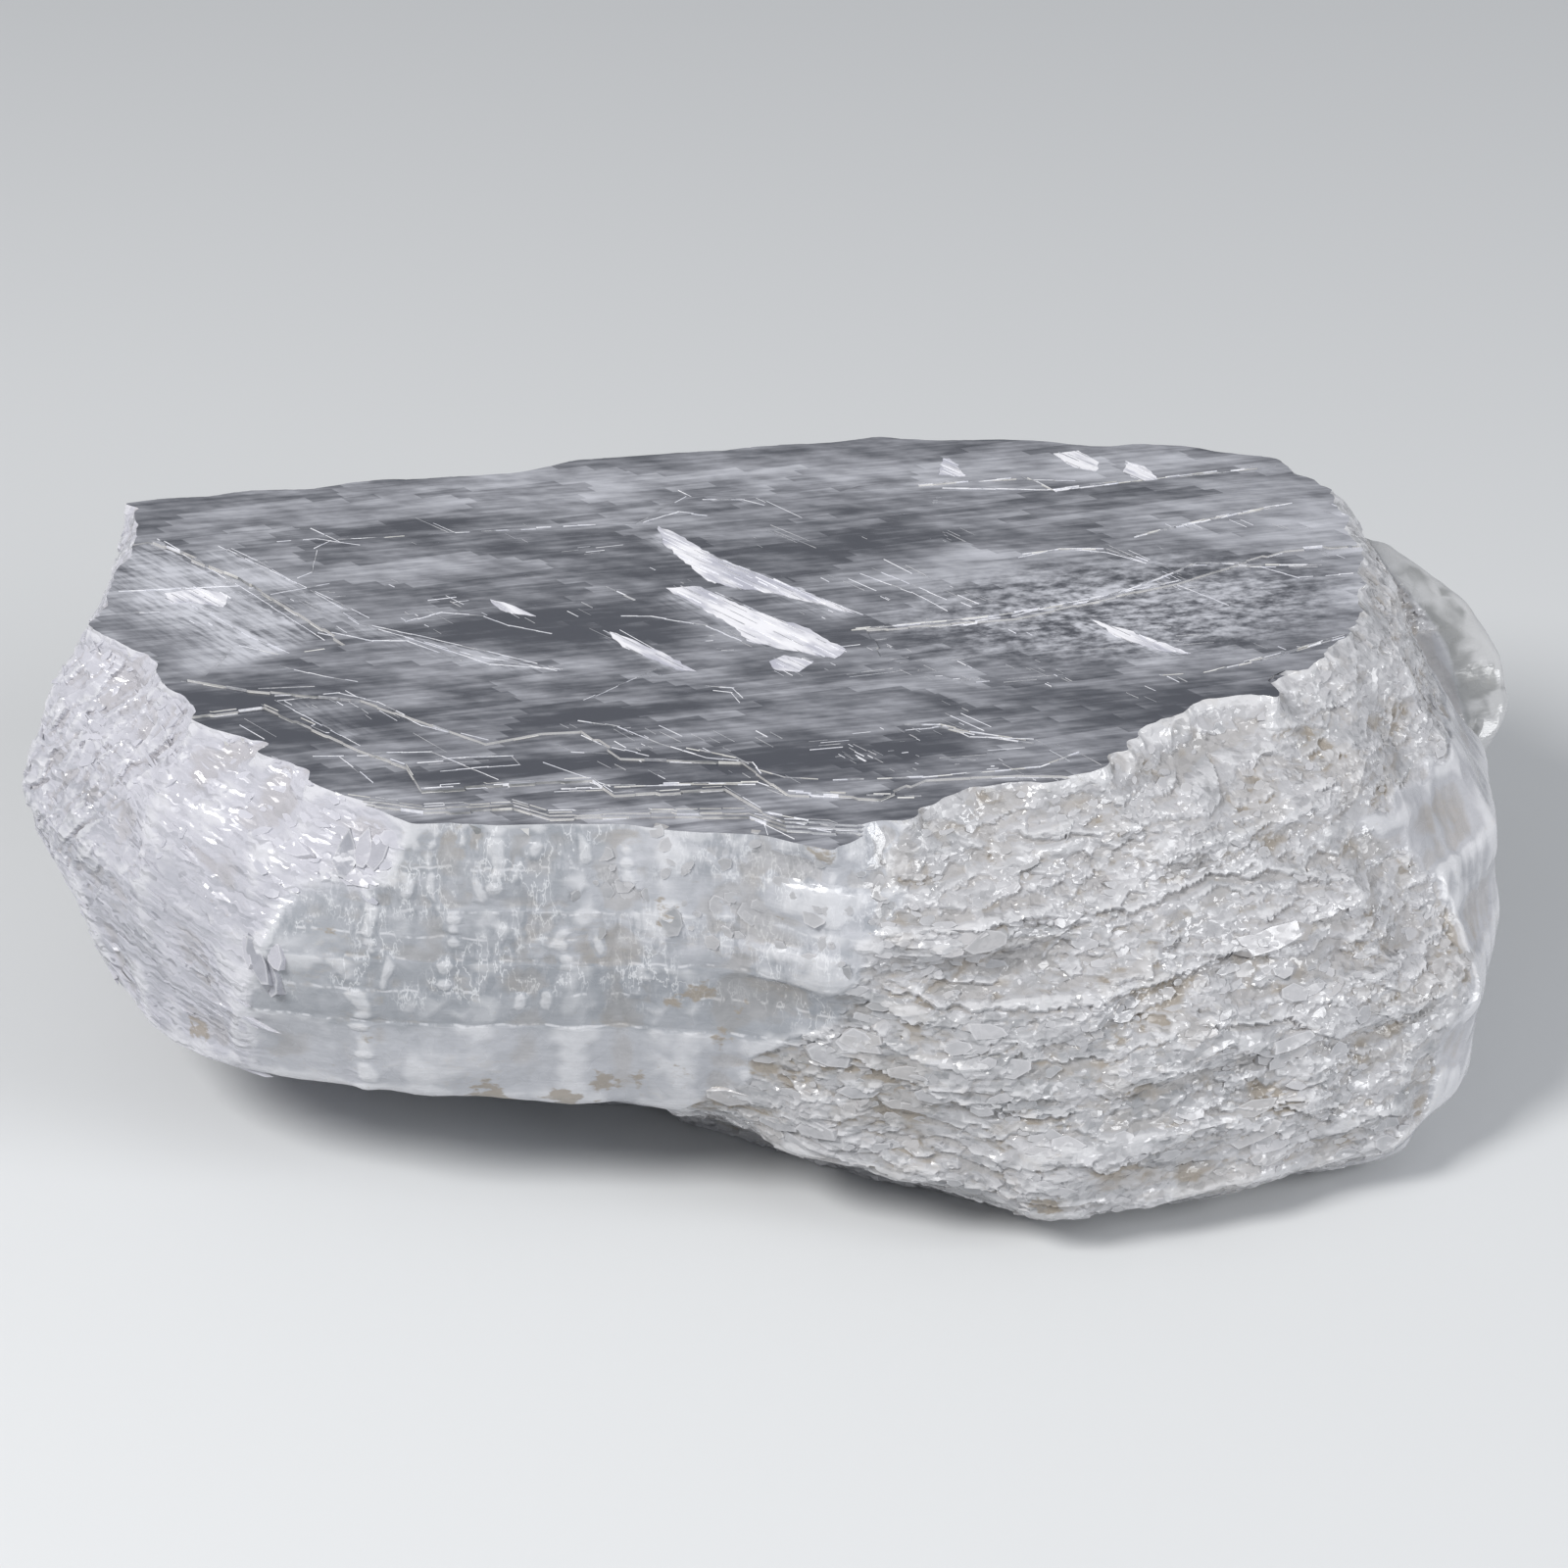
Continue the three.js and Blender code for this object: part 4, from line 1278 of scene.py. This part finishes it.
def flakes(chips, kind, count, wide, tall, weigh, chance, lean, turn=0.0, turning=0.3, leaning=0.1,
           tipping=0.1, thick=0.8, proud=0.02, varied=0.05, dome=0.1):
    """Scatters flakes whose lower lips stand out of the wall while their upper halves are buried in it."""
    for place, outward, light, stain in scattered(kind, count, weigh, chance):
        p = (place - ORIGIN) / MM
        if not 0.6 < p.z < FACE / MM - 0.3:
            continue
        size = chance.lognormvariate(0, 0.35)
        width, height = wide * size * chance.uniform(0.7, 1.3), tall * size * chance.uniform(0.7, 1.3)
        if p.z + 0.5 * height > FACE / MM - 0.5:
            continue
        sunk = place + outward * (proud + chance.gauss(0, 0.05) - thick / 2) * MM
        chips.add(sunk, outward, (width, height, thick), lean + chance.gauss(0, leaning),
                  turn + chance.gauss(0, turning), chance.gauss(0, tipping), light + chance.gauss(0, varied),
                  stain, chance.choice((6, 7, 8)), dome * chance.uniform(-0.5, 1), chance)


def rough(p):
    return 1 - 0.9 * calm(p)


scales = Chips("broken_scales")
flakes(scales, "scaly", 700, 3.4, 1.4, lambda p: rough(p) * (1.1 - upper_right(p)), chance,
       lean=0.14, tipping=0.06, leaning=0.06, turning=0.2)
flakes(scales, "scaly", 1300, 1.6, 0.9, lambda p: rough(p) * (0.5 + upper_right(p)), chance,
       lean=0.16, leaning=0.08, tipping=0.08, turning=0.25, thick=0.6)
flakes(scales, "glassy", 60, 2, 1.8, lambda p: ease(p.x, -24, -18) * ease(p.z, 34, 38), chance,
       lean=0.06, leaning=0.05, turning=1)
scales.finish(chip_finish("loose_scales", TINTS["scaly"], 0.0, 0.2, 0.6))
blades = Chips("fibre_blades")
flakes(blades, "fibrous", 420, 5, 0.35, lambda p: 1 - ease(p.x, -66, -57), chance, lean=0.02,
       turn=-FIBRE_FALL, turning=0.02, leaning=0.05, tipping=0.01, thick=0.4, proud=-0.03, dome=0.02)
flakes(blades, "fibrous", 90, 2.2, 1.0, lambda p: ease(-p.x, 60, 70) * ease(p.z, 34, 40), chance,
       lean=0.1, turn=0.9)
flakes(blades, "fibrous", 60, 2.2, 1.0, lambda p: ease(p.x, -66, -56) * ease(p.z, 38, 44), chance,
       lean=0.14, turn=-FIBRE_FALL, varied=0.08)
blades.finish(chip_finish("loose_blades", TINTS["fibrous"], 0.0, 0.2, 0.3))

# glassy blades along the ridge and at the corner: place, width, height, turn, lean, tip, lightness
RIDGE_BLADES = [
    (-57.9, -57.9, 32.6, 2.6, 8, 0.5, 0.1, 0.2, 0.45), (-56.4, -58.2, 31, 2.4, 6, 0.3, 0.1, -0.2, 0.5),
    (-55.6, -58.6, 33.5, 2, 4.5, 0.2, 0.3, -0.2, 0.95), (-58.9, -57, 33.5, 1.3, 5, 0.6, 0.2, 0.1, 1.0),
    (-48.2, -57.6, 45.5, 3.2, 6.5, 0.1, 0.1, 0.2, 0.5), (-45.6, -57.2, 46, 2.8, 5.5, 0.0, 0.1, -0.1, 0.9),
    (-43.2, -56.8, 45.5, 3.4, 5, -0.2, 0.1, -0.2, 0.7), (-47, -58, 43.2, 5, 2.4, -0.3, 0.3, 0, 0.8),
]
# how thick they are, and how deep the middle of each lies in the wall
BLADE_THICK = 1.6
BLADE_SUNK = 0.55 * MM
shards_of_ridge = Chips("ridge_blades")
for x, y, z, wide, tall, turn, lean, tip, light in RIDGE_BLADES:
    _, place, _, index = block.closest_point_on_mesh(Vector((x, y, z)) * MM + ORIGIN)
    outward = Vector(out_normals[block.data.polygons[index].vertices[0]])
    shards_of_ridge.add(place - outward * BLADE_SUNK, outward, (wide, tall, BLADE_THICK), lean, turn, tip,
                        light, 0, 7, 0.1, chance)
shards_of_ridge.finish(chip_finish("glassy_blades", TINTS["fibrous"], 0.2, 0.4, 0.1))

# ---- floor and light ----
# how many metres the floor reaches each way
FLOOR_REACH = 3
# the floor lies a hair under the foot, so that the two faces don't share one plane
FLOOR_GAP = 0.05 * MM
work = bmesh.new()
bmesh.ops.create_grid(work, x_segments=1, y_segments=1, size=FLOOR_REACH)
floor_mesh = mesh_of("floor", work)
floor = new_object("floor", floor_mesh)
floor_mesh.transform(Matrix.Translation((0, 0, FOOT - FLOOR_GAP)))
floor_finish = bpy.data.materials.new("floor_pale")
floor_finish.use_nodes = True
floor_shader = floor_finish.node_tree.nodes["Principled BSDF"]
floor_shader.inputs["Base Color"].default_value = (0.62, 0.63, 0.64, 1)
floor_shader.inputs["Roughness"].default_value = 0.7
floor_mesh.materials.append(floor_finish)


def area_light(name, place, aim, size, power, colour):
    data = bpy.data.lights.new(name, "AREA")
    data.shape = "DISK"
    data.size = size
    data.energy = power
    data.color = colour
    light = bpy.data.objects.new(name, data)
    bpy.context.collection.objects.link(light)
    light.location = place
    light.rotation_euler = (Vector(aim) - Vector(place)).to_track_quat("-Z", "Y").to_euler()


area_light("key", (-0.5, -0.45, 0.7), (0, 0, 0.02), 0.35, 8, (1, 0.99, 0.97))
area_light("fill", (0.8, -0.45, 0.45), (0, 0, 0.02), 0.5, 5.5, (0.98, 0.99, 1))
world = bpy.data.worlds.new("studio")
world.use_nodes = True
sky = world.node_tree.nodes["Background"]
sky.inputs["Color"].default_value = (0.92, 0.95, 1, 1)
sky.inputs["Strength"].default_value = 0.4
bpy.context.scene.world = world
bpy.context.scene.view_settings.view_transform = "Standard"
